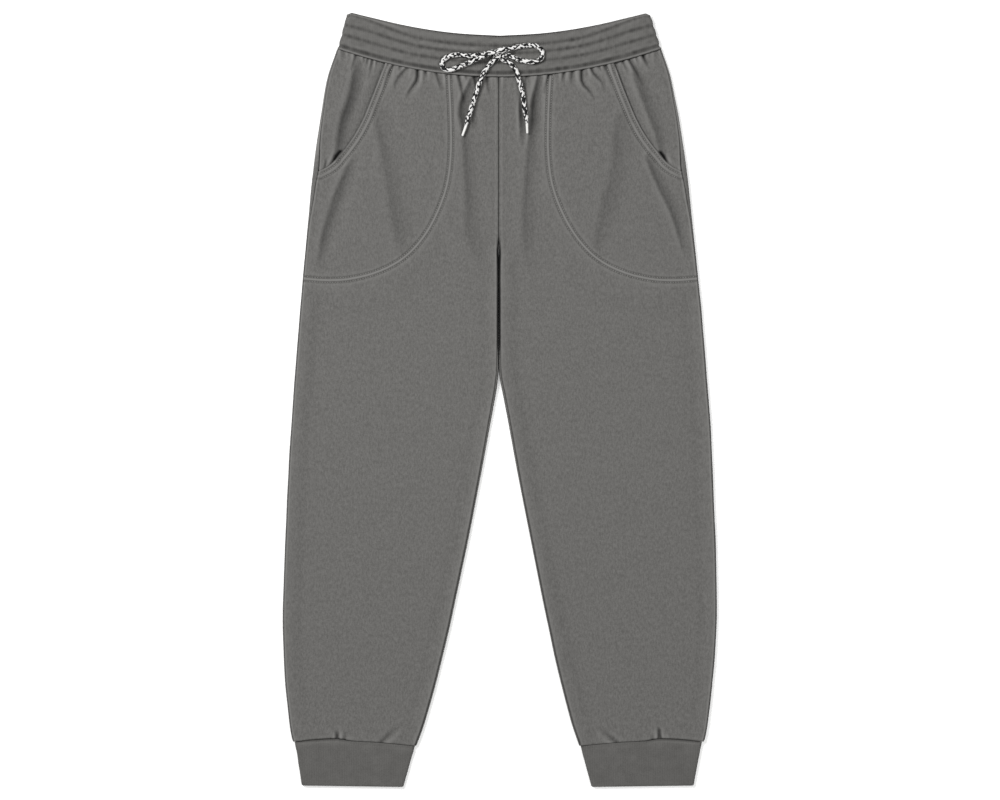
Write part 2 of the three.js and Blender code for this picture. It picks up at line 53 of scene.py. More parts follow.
def mix(a, b, t):
    return a + (b - a) * t


def smooth(low, high, value):
    t = np.clip((np.asarray(value, float) - low) / (high - low), 0, 1)
    return t * t * (3 - 2 * t)


def bump(distance, width):
    return np.exp(-(distance / width) ** 2)


def wander(x, y, size, seed):
    # slow unevenness, mostly between -1 and 1, with features about this size
    draw = np.random.default_rng(seed)
    total = 0
    for _ in range(8):
        angle, phase, pitch = draw.uniform(0, math.pi), draw.uniform(0, 6.28), draw.uniform(0.7, 1.6)
        along = x * math.cos(angle) + y * math.sin(angle)
        total = total + np.sin(along * 2 * math.pi / (size * pitch) + phase)
    return total / 4


def read(table, value, column=1):
    # smooth value of a table's column at a place along its first column
    rows = np.array(table, float)
    rows = rows[np.argsort(rows[:, 0])]
    keys, data = rows[:, 0], rows[:, column]
    slopes = np.empty_like(data)
    slopes[1:-1] = (data[2:] - data[:-2]) / (keys[2:] - keys[:-2])
    slopes[[0, -1]] = (data[[1, -1]] - data[[0, -2]]) / (keys[[1, -1]] - keys[[0, -2]])
    value = np.clip(value, keys[0], keys[-1])
    i = np.clip(np.searchsorted(keys, value, side="right") - 1, 0, len(keys) - 2)
    span = keys[i + 1] - keys[i]
    t = (value - keys[i]) / span
    bend = (t ** 3 - 2 * t ** 2 + t) * slopes[i] * span + (t ** 3 - t ** 2) * slopes[i + 1] * span
    return mix(data[i], data[i + 1], t * t * (3 - 2 * t)) + bend


def curveThrough(points, spacing):
    # points at even spacing on a smooth curve through these
    given = np.array(points, float)
    ends = np.vstack([2 * given[0] - given[1], given, 2 * given[-1] - given[-2]])
    dense = []
    for i in range(1, len(ends) - 2):
        a, b, c, d = ends[i - 1:i + 3]
        for t in np.linspace(0, 1, 40, endpoint=False):
            dense.append(0.5 * (2 * b + (c - a) * t + (2 * a - 5 * b + 4 * c - d) * t ** 2
                                + (3 * b - a - 3 * c + d) * t ** 3))
    dense = np.array(dense + [given[-1]])
    run = np.concatenate([[0], np.cumsum(np.linalg.norm(np.diff(dense, axis=0), axis=1))])
    count = max(2, round(run[-1] / spacing) + 1)
    places = np.linspace(0, run[-1], count)
    return np.stack([np.interp(places, run, dense[:, k]) for k in range(dense.shape[1])], 1)


def distanceTo(line, x, y):
    # distance in plan from points to a line of points
    nearest = np.full(np.shape(x), 1e9)
    for (ax, ay), (bx, by) in zip(line[:-1], line[1:]):
        along = ((x - ax) * (bx - ax) + (y - ay) * (by - ay)) / ((bx - ax) ** 2 + (by - ay) ** 2)
        along = np.clip(along, 0, 1)
        nearest = np.minimum(nearest, np.hypot(x - mix(ax, bx, along), y - mix(ay, by, along)))
    return nearest


def addMesh(name, points, faces, materials, faceMaterial=None, body="root"):
    mesh = bpy.data.meshes.new(name)
    mesh.from_pydata((np.asarray(points) * mm).tolist(), [], faces)
    for material in materials:
        mesh.materials.append(material)
    mesh.polygons.foreach_set("use_smooth", np.ones(len(faces), bool))
    if faceMaterial is not None:
        mesh.polygons.foreach_set("material_index", faceMaterial)
    piece = bpy.data.objects.new(name, mesh)
    bpy.context.scene.collection.objects.link(piece)
    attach(piece, body)
    return piece


def facingOut(piece):
    work = bmesh.new()
    work.from_mesh(piece.data)
    bmesh.ops.recalc_face_normals(work, faces=work.faces)
    work.to_mesh(piece.data)
    work.free()
    return piece


def runningMean(values, places, reach):
    # mean of each line's values within this reach of each place along it
    result = np.empty(values.shape)
    for k in range(len(values)):
        run, line = places[k], values[k]
        if run[-1] < run[0]:
            run, line = run[::-1], line[::-1]
        total = np.concatenate([[0], np.cumsum(np.diff(run) * (line[1:] + line[:-1]) / 2)])
        low, high = np.maximum(run - reach, run[0]), np.minimum(run + reach, run[-1])
        mean = (np.interp(high, run, total) - np.interp(low, run, total)) / (high - low)
        result[k] = mean if places[k][-1] >= places[k][0] else mean[::-1]
    return result


paintedLightHeight = 0.75  # cloth this far above or below its surroundings gets its full painted highlight or painted shade
paintedLightReach = 3.2  # how far round a place its surroundings go


def proudness(height, x, y):
    # how far cloth stands above the cloth around it: ridges are over 0, troughs under 0
    mean = runningMean(runningMean(height, x, paintedLightReach), x, paintedLightReach)
    downToo = runningMean(runningMean(mean.T, y.T, paintedLightReach), y.T, paintedLightReach).T
    # columns slant beside the mouth's foot, so there the mean is taken across only
    return height - mix(downToo, mean, bump(y - 293, 13))


def clothWall(name, outer, inner, material, paintedShading, closed=False):
    # A closed wall: a fine outer face, an inner face with a quarter as many rows and columns, and
    # the cut edges between. Closed says that the rows run round a tube. The shading argument is how far
    # each point of the outer face stands above its surroundings, with painted shade added by the callers;
    # its finish paints this as a highlight on ridges and as shade in troughs.
    rows, columns = outer.shape[:2]
    step = (columns - 1) // (inner.shape[1] - 1)
    fine = np.arange(rows * columns).reshape(rows, columns)
    coarse = rows * columns + np.arange(inner.shape[0] * inner.shape[1]).reshape(inner.shape[:2])
    if closed:
        fine, coarse = np.vstack([fine, fine[:1]]), np.vstack([coarse, coarse[:1]])

    def quads(grid):
        return np.stack([grid[:-1, :-1], grid[1:, :-1], grid[1:, 1:], grid[:-1, 1:]], -1).reshape(-1, 4)

    faces = quads(fine).tolist() + quads(coarse)[:, ::-1].tolist()
    borders = [(fine[:, 0], coarse[:, 0]), (fine[:, -1], coarse[:, -1])]
    if not closed:
        borders += [(fine[0], coarse[0]), (fine[-1], coarse[-1])]
    for fineLine, coarseLine in borders:
        for k in range(len(coarseLine) - 1):
            strip = fineLine[k * step:(k + 1) * step + 1].tolist()
            faces.append(strip + [int(coarseLine[k + 1]), int(coarseLine[k])])
    points = np.vstack([outer.reshape(-1, 3), inner.reshape(-1, 3)])
    piece = facingOut(addMesh(name, points, faces, [material]))
    # painted light: each point's painted highlight (over 0) or painted shade (under 0)
    paintedLight = piece.data.attributes.new("paintedLight", "FLOAT", "POINT")
    values = np.zeros(len(points))
    if closed:
        # no light gets into a tube
        values[rows * columns:] = -3
    values[:rows * columns] = np.clip(paintedShading / paintedLightHeight, -3, 1).ravel()
    paintedLight.data.foreach_set("value", values)
    return piece


def lowestNear(heights, step):
    # lowest value near each step-th row and column
    padded = np.pad(heights, step, mode="edge")
    size = 2 * step + 1
    lows = np.lib.stride_tricks.sliding_window_view(padded, (size, size)).min((2, 3))
    return lows[::step, ::step]


def addNode(tree, kind, inputs=None, **settings):
    # a node with its settings; an input is a value, or a socket to link from
    node = tree.nodes.new(kind)
    for key, value in settings.items():
        setattr(node, key, value)
    for key, value in (inputs or {}).items():
        if isinstance(value, bpy.types.NodeSocket):
            tree.links.new(value, node.inputs[key])
        else:
            node.inputs[key].default_value = value
    return node


def newMaterial(name):
    material = bpy.data.materials.new(name)
    material.use_nodes = True
    tree = material.node_tree
    tree.nodes.clear()
    return material, tree


# Camera straight above the garment, as the photo shows it
view = {"height": 5000, "pictureWidth": 1260, "clothLevel": 8, "sensor": 36}

camera = bpy.data.objects.new("camera", bpy.data.cameras.new("camera"))
bpy.context.scene.collection.objects.link(camera)
camera.location = (0, 0, view["height"] * mm)
camera.data.sensor_width = view["sensor"]
camera.data.lens = view["sensor"] * (view["height"] - view["clothLevel"]) / view["pictureWidth"]
camera.data.clip_end = 50
bpy.context.scene.camera = camera
bpy.context.scene.view_settings.view_transform = "Standard"
print("camera done")


# Materials
fleece = {
    "light": "#6e6d6b", "dark": "#5b5a58",
    "paintedHighlight": "#7b7a78",  # painted highlight on ridges and folded edges
    "sunk": "#060606",  # deep in a fold, where hardly any light gets in
    "wale": 1.9,  # knit columns are 1.1 mm apart; drawn coarser so that they show
    "fuzz": 1.3, "mottle": 5, "tone": (0.98, 1.47), "relief": 0.3, "roughness": 0.95, "sheen": 0.03,
}
rib = {
    # as in the fleece: a painted highlight for ridges, and painted shade deep in folds
    "light": "#656462", "dark": "#535250", "paintedHighlight": "#706f6d", "sunk": "#060606", "wale": 2.2,
    "fuzz": 1.5, "uneven": 14, "tone": (0.65, 1.15), "relief": 0.35, "roughness": 0.95, "sheen": 0.03,
}
braid = {"white": "#f0efed", "black": "#121213", "fibre": 0.5, "roughness": 0.7}
sewing = {"thread": "#93928f", "twist": 0.5, "roughness": 0.65}
tipPlastic = {"colour": "#e9e8e5", "roughness": 0.35, "ior": 1.49}


def clothColour(tree, cloth, tone):
    # faded dye between its two tones by the grain, with a painted highlight on ridges and painted shade in
    # folds
    grain = addNode(tree, "ShaderNodeMix", {
        "Factor": tone, "A": linear(cloth["dark"]), "B": linear(cloth["light"])}, data_type="RGBA")
    paintedLight = addNode(tree, "ShaderNodeAttribute", attribute_name="paintedLight").outputs["Fac"]
    over = addNode(tree, "ShaderNodeMath", {0: paintedLight, 1: 0.0}, operation="MAXIMUM")
    under = addNode(tree, "ShaderNodeMath", {0: paintedLight, 1: -0.33}, operation="MULTIPLY", use_clamp=True)
    paler = addNode(tree, "ShaderNodeMix", {
        "Factor": over.outputs[0], "A": grain.outputs["Result"], "B": linear(cloth["paintedHighlight"])},
        data_type="RGBA")
    darker = addNode(tree, "ShaderNodeMix", {
        "Factor": under.outputs[0], "A": paler.outputs["Result"], "B": linear(cloth["sunk"])},
        data_type="RGBA")
    return darker.outputs["Result"]


def clothSurface(tree, cloth, shade, grain):
    # matte cloth: its tone from the shade, its relief from the grain, and a trace of sheen
    tone = addNode(tree, "ShaderNodeMapRange", {
        "Value": shade, "From Min": cloth["tone"][0], "From Max": cloth["tone"][1]})
    relief = addNode(tree, "ShaderNodeBump", {
        "Height": grain, "Strength": 0.5, "Distance": cloth["relief"] * mm})
    shader = addNode(tree, "ShaderNodeBsdfPrincipled", {
        "Base Color": clothColour(tree, cloth, tone.outputs[0]), "Roughness": cloth["roughness"],
        "Sheen Weight": cloth["sheen"], "Sheen Roughness": 0.5, "IOR": 1.45,
        "Specular IOR Level": 0.2, "Normal": relief.outputs[0]})
    addNode(tree, "ShaderNodeOutputMaterial", {"Surface": shader.outputs[0]})


def brushedFleece(name, cloth):
    # Sweatshirt fleece, knitted and lightly brushed: matte, with faint upright wales and fine fuzz
    material, tree = newMaterial(name)
    place = addNode(tree, "ShaderNodeTexCoord").outputs["Object"]
    upright = addNode(tree, "ShaderNodeMapping", {"Vector": place, "Scale": (1, 0.4, 1)})
    wales = addNode(tree, "ShaderNodeTexNoise", {
        "Vector": upright.outputs[0], "Scale": 1 / (cloth["wale"] * mm), "Detail": 2, "Roughness": 0.6})
    fuzz = addNode(tree, "ShaderNodeTexNoise", {
        "Vector": place, "Scale": 1 / (cloth["fuzz"] * mm), "Detail": 3, "Roughness": 0.7})
    mottle = addNode(tree, "ShaderNodeTexNoise", {
        "Vector": place, "Scale": 1 / (cloth["mottle"] * mm), "Detail": 3, "Roughness": 0.55})
    grain = addNode(tree, "ShaderNodeMath", {0: wales.outputs[0], 1: fuzz.outputs[0]}, operation="ADD")
    shade = addNode(tree, "ShaderNodeMath", {
        0: mottle.outputs[0], 1: 0.45, 2: grain.outputs[0]}, operation="MULTIPLY_ADD")
    clothSurface(tree, cloth, shade.outputs[0], grain.outputs[0])
    return material


def ribKnit(name, cloth):
    # Elastic one-by-one rib: matte, with close upright ribs
    material, tree = newMaterial(name)
    place = addNode(tree, "ShaderNodeTexCoord").outputs["Object"]
    ribs = addNode(tree, "ShaderNodeTexWave", {
        "Vector": place, "Scale": 0.314 / (cloth["wale"] * mm),  # 2 pi / 20: one wave for each rib
        "Distortion": 1.6, "Detail": 2,
        "Detail Scale": 0.4}, bands_direction="X")
    fuzz = addNode(tree, "ShaderNodeTexNoise", {
        "Vector": place, "Scale": 1 / (cloth["fuzz"] * mm), "Detail": 3, "Roughness": 0.7})
    uneven = addNode(tree, "ShaderNodeTexNoise", {
        "Vector": place, "Scale": 1 / (cloth["uneven"] * mm), "Detail": 4, "Roughness": 0.6})
    grain = addNode(tree, "ShaderNodeMath", {
        0: ribs.outputs["Fac"], 1: 0.2, 2: fuzz.outputs[0]}, operation="MULTIPLY_ADD")
    shade = addNode(tree, "ShaderNodeMath", {
        0: uneven.outputs[0], 1: 0.6, 2: grain.outputs[0]}, operation="MULTIPLY_ADD")
    clothSurface(tree, cloth, shade.outputs[0], grain.outputs[0])
    return material


def polyesterYarn(name, hexColour):
    # Textured polyester yarn of the braid: nearly matte, with fibres that break up the light
    material, tree = newMaterial(name)
    place = addNode(tree, "ShaderNodeTexCoord").outputs["Object"]
    fibres = addNode(tree, "ShaderNodeTexNoise", {
        "Vector": place, "Scale": 1 / (braid["fibre"] * mm), "Detail": 3, "Roughness": 0.7})
    relief = addNode(tree, "ShaderNodeBump", {
        "Height": fibres.outputs[0], "Strength": 0.4, "Distance": 0.15 * mm})
    colour = addNode(tree, "ShaderNodeMix", {
        "Factor": fibres.outputs[0], "A": tuple(0.8 * v for v in linear(hexColour)[:3]) + (1,),
        "B": linear(hexColour)}, data_type="RGBA")
    shader = addNode(tree, "ShaderNodeBsdfPrincipled", {
        "Base Color": colour.outputs["Result"], "Roughness": braid["roughness"],
        "Specular IOR Level": 0.3, "IOR": 1.5, "Normal": relief.outputs[0]})
    addNode(tree, "ShaderNodeOutputMaterial", {"Surface": shader.outputs[0]})
    return material


def sewingThread(name):
    # Spun polyester sewing thread: a shade lighter than the cloth, a painted highlight for stitches that
    # catch the light
    material, tree = newMaterial(name)
    place = addNode(tree, "ShaderNodeTexCoord").outputs["Object"]
    twist = addNode(tree, "ShaderNodeTexNoise", {
        "Vector": place, "Scale": 1 / (sewing["twist"] * mm), "Detail": 2})
    relief = addNode(tree, "ShaderNodeBump", {
        "Height": twist.outputs[0], "Strength": 0.3, "Distance": 0.1 * mm})
    shader = addNode(tree, "ShaderNodeBsdfPrincipled", {
        "Base Color": linear(sewing["thread"]), "Roughness": sewing["roughness"],
        "IOR": 1.5, "Normal": relief.outputs[0]})
    addNode(tree, "ShaderNodeOutputMaterial", {"Surface": shader.outputs[0]})
    return material


def mouldedAcetate(name):
    # Shrunk acetate film round the cord's end: smooth, white and a little glossy
    material, tree = newMaterial(name)
    place = addNode(tree, "ShaderNodeTexCoord").outputs["Object"]
    ripple = addNode(tree, "ShaderNodeTexNoise", {"Vector": place, "Scale": 1 / (2 * mm), "Detail": 1})
    relief = addNode(tree, "ShaderNodeBump", {
        "Height": ripple.outputs[0], "Strength": 0.15, "Distance": 0.1 * mm})
    shader = addNode(tree, "ShaderNodeBsdfPrincipled", {
        "Base Color": linear(tipPlastic["colour"]), "Roughness": tipPlastic["roughness"],
        "IOR": tipPlastic["ior"], "Normal": relief.outputs[0]})
    addNode(tree, "ShaderNodeOutputMaterial", {"Surface": shader.outputs[0]})
    return material


fleeceCloth = brushedFleece("brushed fleece", fleece)
ribCloth = ribKnit("one-by-one rib knit", rib)
whiteYarn = polyesterYarn("white polyester yarn", braid["white"])
blackYarn = polyesterYarn("black polyester yarn", braid["black"])
threadFinish = sewingThread("spun polyester thread")
tipFinish = mouldedAcetate("white acetate film")
print("materials done")


# Drawcord: two ends of one braided cord come out of the waistband and are tied in a bow
cord = {
    "diameter": 6, "crown": 0.32,  # how far each yarn stands up from the braid's body
    "carriers": 8,  # yarns wound each way
    "turn": 30,  # length in which a yarn goes once round
    "black": (0, 1, 4, 5, 6),  # the black carriers
    "swapped": 0.16,  # share of flecks in the other colour
    "round": 48, "ringSpacing": 0.55, "endTaper": 9,
}

# Routes in millimetres, as in the CAD source, with the hidden part through the knot
rightRoute = [
    (-8, 433, 10.6), (-4, 434, 13.9), (2, 436, 14.2), (7, 438, 16), (6, 438.6, 20), (0, 437.5, 21.8),
    (-11.2, 436.4, 21.8), (-18, 433.4, 21.8), (-27.1, 429.6, 20.6), (-38.4, 424.6, 17.2),
    (-51.3, 419.2, 15.4), (-62.9, 415.4, 14.8), (-69.9, 416.6, 14.8), (-73.2, 422, 14.8),
    (-71, 428, 14.8), (-63, 433, 14.8), (-51, 434.4, 14.8), (-38.4, 432.9, 14.8),
    (-23.3, 434.6, 14.8), (-11.2, 437.6, 15.4), (-5, 436.5, 17.9), (-1, 435.5, 17.5),
    (1, 432.5, 17), (-3, 430, 16.4), (-7.4, 427.6, 15.6), (-12.2, 423, 14.8), (-19.2, 414, 14.8),
    (-23.4, 405, 14.6), (-26.6, 397, 13.4), (-30.9, 384, 12), (-35.9, 368, 11.4),
    (-40.6, 354, 11.1), (-43, 345, 11.1),
]
leftRoute = [
    (8, 433, 10.6), (4, 432.4, 13.5), (-2, 432.5, 14.2), (-6.5, 434, 17), (-4, 437.5, 23),
    (2, 439.8, 24), (7, 441, 21), (9.6, 440.9, 18.6), (20, 443.8, 15.6), (32.1, 445.8, 14.8),
    (43, 446, 14.8), (50.8, 442.1, 14.8), (53.5, 435.7, 14.8), (51, 429, 14.8),
    (43.8, 425.5, 14.8), (34.6, 425.9, 14.8), (23.3, 428.3, 14.8), (15.8, 431.4, 14.8),
    (9.4, 434, 15.4), (5, 433.5, 17.8), (1.5, 431.6, 19), (3, 428.5, 18), (6.6, 426.8, 15.6),
    (13.4, 423, 14.8), (20.4, 414, 14.8), (23.2, 405, 14.6), (25.6, 397, 13.4), (28.6, 384, 12),
    (31, 368, 11.4), (33, 355, 11.1), (33.8, 348, 11.1),
]
tipRoutes = {
    "right": [(-43.1, 344.6, 11), (-47.6, 332.4, 9.8)],
    "left": [(33.9, 347.6, 11), (34.4, 335.6, 9.4)],
}
tipShape = {
    "radius": (1.72, 1.4), "rings": 26, "round": 20, "overlap": 0.1,
    "bluntFrom": 0.93, "blunt": 0.075,  # shares of the tip's length
}


def ringFrames(line):
    # two directions square to the line at each point, turned as little as possible along it
    ahead = np.gradient(line, axis=0)
    ahead /= np.linalg.norm(ahead, axis=1)[:, None]
    acrossLine = [np.cross(ahead[0], (0, 0, 1.0))]
    for direction in ahead[1:]:
        turned = acrossLine[-1] - direction * np.dot(acrossLine[-1], direction)
        acrossLine.append(turned / np.linalg.norm(turned))
    acrossLine[0] = acrossLine[0] / np.linalg.norm(acrossLine[0])
    acrossLine = np.array(acrossLine)
    return acrossLine, np.cross(ahead, acrossLine)


def tubeFaces(rings, perRing):
    # quads between rings of points, and a cap at each end
    ids = np.arange(rings * perRing).reshape(rings, perRing)
    nextOne = np.roll(ids, -1, axis=1)
    faces = np.stack([ids[:-1], nextOne[:-1], nextOne[1:], ids[1:]], -1).reshape(-1, 4).tolist()
    return faces + [ids[0][::-1].tolist(), ids[-1].tolist()]


def braidedCord(name, route):
    line = curveThrough(route, cord["ringSpacing"])
    first, second = ringFrames(line)
    run = np.arange(len(line)) * cord["ringSpacing"]
    angle = np.arange(cord["round"]) / cord["round"] * 2 * math.pi
    swapped = np.random.default_rng(23).random((2, cord["carriers"], 64)) < cord["swapped"]

    def cells(run, angle):
        # the braid's diamonds: which yarn each way lies here, and which is on top
        oneWay = cord["carriers"] * (angle / (2 * math.pi) + run / cord["turn"])
        otherWay = cord["carriers"] * (angle / (2 * math.pi) - run / cord["turn"])
        i, j = np.floor(oneWay).astype(int), np.floor(otherWay).astype(int)
        top = (i + j) % 2 == 0
        yarn, otherYarn = i % cord["carriers"], j % cord["carriers"]
        black = np.where(top, np.isin(yarn, cord["black"]) ^ swapped[0, yarn, j // 2 % 64],
                         np.isin(otherYarn, cord["black"]) ^ swapped[1, otherYarn, i // 2 % 64])
        aside = np.where(top, oneWay - i, otherWay - j) - 0.5
        along = np.where(top, otherWay - j, oneWay - i) - 0.5
        crown = (1 - (2 * np.abs(aside)) ** 2.4) * (1 - 0.5 * (2 * np.abs(along)) ** 3)
        return black, crown

    black, crown = cells(run[:, None], angle[None, :])
    radius = cord["diameter"] / 2 - cord["crown"] * 0.7 + cord["crown"] * crown
    radius = radius * (1 - 0.42 * smooth(run[-1] - cord["endTaper"], run[-1], run)[:, None])
    points = (line[:, None] + first[:, None] * (radius * np.cos(angle))[..., None]
              + second[:, None] * (radius * np.sin(angle))[..., None])
    middles = cells(run[:-1, None] + cord["ringSpacing"] / 2, angle[None, :] + math.pi / cord["round"])[0]
    shades = middles.astype(int).ravel().tolist() + [0, 0]
    faces = tubeFaces(len(line), cord["round"])
    piece = facingOut(addMesh(name, points.reshape(-1, 3), faces, [whiteYarn, blackYarn], shades))
    return piece, line


def cordTip(name, ends):
    # film wound round the cord's end and pressed to a blunt point
    start, end = np.array(ends, float)
    line = np.linspace(start - (end - start) * tipShape["overlap"], end, tipShape["rings"])
    first, second = ringFrames(line)
    t = np.linspace(0, 1, len(line))
    blunt = np.clip(t - tipShape["bluntFrom"], 0, 1) / tipShape["blunt"]
    radius = mix(*tipShape["radius"], t) * np.sqrt(np.clip(1 - blunt ** 2, 0.05, 1))
    angle = np.linspace(0, 2 * math.pi, tipShape["round"], endpoint=False)
    ring = first[:, None] * np.cos(angle)[:, None] + second[:, None] * np.sin(angle)[:, None]
    points = line[:, None] + ring * radius[:, None, None]
    faces = tubeFaces(len(line), tipShape["round"])
    piece = facingOut(addMesh(name, points.reshape(-1, 3), faces, [tipFinish]))
    return piece


for word, route in (("right", rightRoute), ("left", leftRoute)):
    tip = cordTip(f"cordTip_{word}", tipRoutes[word])
    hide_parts(f"cord_tip_{word}")
    piece, line = braidedCord(f"drawcord_{word}", route)
    nodes = [f"cord_loop_{word}", f"cord_tail_{word}"]
    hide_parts(*(nodes + ["cord_knot"] if word == "right" else nodes))


# Cut of the panels, as in the CAD source, with the inner edge drawn finer at the crotch
cut = {
    "clothThick": 2.4, "bagThick": 1.6, "seamGap": 0.3, "edgeRadius": 4.2, "rimReach": 24,
    "waistY": 407, "waistCurve": 0.000865, "waistGap": 0.3, "crotchLevel": 219, "hemLevel": 838,
    "hemThickens": 740, "mouthFootY": 289, "mouthHem": 0.6,
    "bagFootInset": 9.4, "bandHalf": 202,
    # tops and undersides of the front cloth stay above these heights, out of the back panel
    "lowestTop": 3.4, "lowestUnder": 2.5,
}
bagLay = cut["clothThick"] + cut["seamGap"] + cut["bagThick"]

# y, half width of the body and of a leg's outer edge
outerEdge = [
    (443, 203.8), (408, 216), (367, 223.7), (287, 235), (206, 242.6), (125, 250), (45, 256.5),
    (-51, 264), (-152, 269), (-253, 272.8), (-303, 273), (-353, 270.6), (-404, 265), (-420, 262.6),
    (-429, 260.6),
]
# y, distance of a leg's inner edge from the centre
innerEdge = [
    (192, 0), (120, 0), (60, 0), (46, 0), (36, 0.1), (28, 1.1), (20, 2.6), (10, 4.8), (-1, 6.9),
    (-101, 25.6), (-202, 45.6), (-303, 67.4), (-404, 93.9), (-434, 104),
]
# y, how far in the side seam and the inseam lie on the front
seamInset = [
    (443, 0.9, 1.6), (377, 2, 1.6), (327, 3.8, 1.6), (293, 6.9, 1.6), (272, 5.2, 1.6),
    (250, 4, 1.6), (221, 1.6, 1.6), (190, 0.9, 1.6), (56, 0.9, 1.9), (0, 0.9, 2.4),
    (-60, 0.9, 1.8), (-120, 0.9, 1.2),
]
# y, distance of the pocket mouth's edge from the centre
mouthEdge = [
    (426, 143.5), (396, 155), (372, 164.4), (355, 171.4), (335, 182.1), (319, 193.4),
    (307, 203.5), (300, 209), (293, 218.6), (289, 227),
]
# y, distance of the pocket bag's sewn edge from the centre
bagEdge = [
    (411, 64), (359, 61.5), (311, 61.3), (270, 66.6), (232, 80.7), (201, 99.6), (177, 124),
    (162, 152), (153, 190),
]
# y, height of the front where it lies on the back alone, over the pocket bag, and of the facing
layHeight = [
    (443, 9.8, 10.2, 9.6), (395, 8.4, 9.5, 8.8), (350, 7, 8.6, 8), (250, 6.1, 7.9, 7.4),
    (100, 5.6, 7.6, 7.4), (-380, 5.6, 7.6, 7.4), (-429, 6.6, 7.6, 7.4),
]
# The two legs don't lie quite alike: y, shift along x of the inner and the outer edge of the
# wearer's left leg, and the same of the right leg
drift = [
    (443, -1.6, -0.3, -1.6, -1.5), (390, -1.6, -1, -1.6, -1.2), (352, -1.6, 0.3, -1.6, -1.2),
    (277, -1.6, 1.1, -1.6, -1.1), (201, -1.6, 2, -1.6, -1.4), (125, -1.6, 3.1, -1.6, -1.3),
    (50, -1.6, 3.4, -1.6, -1.3), (28, -1.6, 3.2, -1.4, -1.2), (12, -1.8, 3.1, 0, -1.1),
    (-26, -1.6, 3.2, 0.2, -0.7),
    (-101, -1.8, 2.1, 0.3, -0.9), (-177, -1.7, 2, 0.4, -0.9), (-253, -2.3, 0.9, 0, -1),
    (-290, -2.6, -0.1, 0.2, -0.8), (-328, -3.8, -1.4, 0.2, -0.6), (-366, -4.4, -2.3, 0.5, -0.9),
    (-404, -4.8, -2.2, 0, -1.2), (-431, -4.9, -2.6, -0.4, -1.2), (-440, -5, -3.6, -1, -1),
    (-488, -5.7, -3.6, -0.8, -2),
]
# distance from the centre, rise of the cuff seam on the front
hemLine = [(262, 0.4), (206, 4.1), (187, 1.3), (153, -0.6), (119, -3.8), (104, -4.9)]
# the line on which the pocket bag is sewn to the front: distance from the centre, y
bagSeam = [
    (64, 408), (61.5, 359), (61.3, 311), (66.6, 270), (80.7, 232), (99.6, 201), (124, 177),
    (155, 161), (189, 152.5), (219, 151), (247, 153),
]

# Gathers under the waistband: x, y, width and depth along each crease
gathers = [
    [(-181, 436, 3.2, 1.7), (-187, 414, 3.2, 0)], [(-171, 433, 2.6, 1.2), (-172, 422, 2.6, 0)],
    [(-166, 431, 3, 1.4), (-169, 419, 3, 0)], [(-161, 429, 3, 1.5), (-165, 405, 3.4, 0)],
    [(-155, 427, 2.8, 1.2), (-158, 409, 3, 0)],
    [(-135, 422, 3.4, 1.5), (-142.5, 407, 3.6, 1.1), (-147, 390, 4, 0)],
    [(-126, 420, 2.4, 0.9), (-128, 413, 2.4, 0)],
    [(-118, 418, 3.2, 1.5), (-130, 403, 4, 1.2), (-134, 386, 4.4, 0)],
    [(-104, 416, 3.4, 2.3), (-105, 403, 3.4, 2.1), (-114, 389, 3.6, 1.2), (-120, 376, 4, 0)],
    [(-94, 414, 2.6, 1.3), (-92, 406, 2.6, 0)],
    [(-80, 412, 3.2, 1.9), (-77, 401, 3.4, 1.3), (-72, 388, 3.6, 0)],
    [(-69, 411, 2.2, 0.8), (-68, 404, 2.2, 0)], [(-61, 410, 2.4, 0.8), (-60, 396, 2.4, 0)],
    [(-52.5, 409, 3.4, 1.9), (-48, 391, 3.8, 1.7), (-45, 372, 4.4, 0)],
    [(-43, 408, 2.2, 0.8), (-42, 401, 2.2, 0)],
    [(-33, 408, 4, 2), (-30, 396, 5, 1.6), (-28, 378, 5.4, 0)],
    [(-17, 407, 3.2, 1.3), (-15, 395, 3.4, 0.9), (-11, 379, 3.6, 0)],
    [(11, 407, 3, 0.9), (12, 396, 3.2, 0)], [(22, 407, 3, 1.2), (24, 388, 3.2, 0)],
    [(33, 408, 4, 1.9), (31, 394, 4.4, 1), (30, 382, 4, 0)],
    [(48, 409, 3, 1.4), (45, 388, 3.4, 0)], [(61.5, 410, 3.2, 1.9), (57, 392, 3.8, 0.8), (55, 384, 4, 0)],
    [(69, 411, 2.2, 0.8), (66, 393, 2.6, 0)], [(80.5, 412, 2.6, 1.3), (78, 398, 2.8, 0)],
    [(91, 414, 3, 1.4), (89, 394, 3.4, 0)],
    [(103, 416, 3.4, 2.3), (104, 400, 3.4, 2), (114, 388, 3.6, 1.1), (121, 375, 4, 0)],
    [(115, 418, 3.2, 1.7), (120, 409, 3.4, 1.3), (128, 402, 3.8, 1.1), (133, 386, 4, 0)],
    [(125, 420, 2.4, 0.8), (128, 412, 2.4, 0)], [(132, 421, 3.4, 1.4), (144, 390, 4.4, 0)],
    [(154, 428, 3, 1.4), (163, 408, 3.4, 0)],
    [(162, 430, 3.2, 1.5), (172, 413, 3.6, 1), (183, 392, 4.4, 0)],
    [(179, 436, 3.4, 2), (189, 416, 3.6, 0)], [(171, 433, 2.4, 1), (174, 424, 2.4, 0)],
]
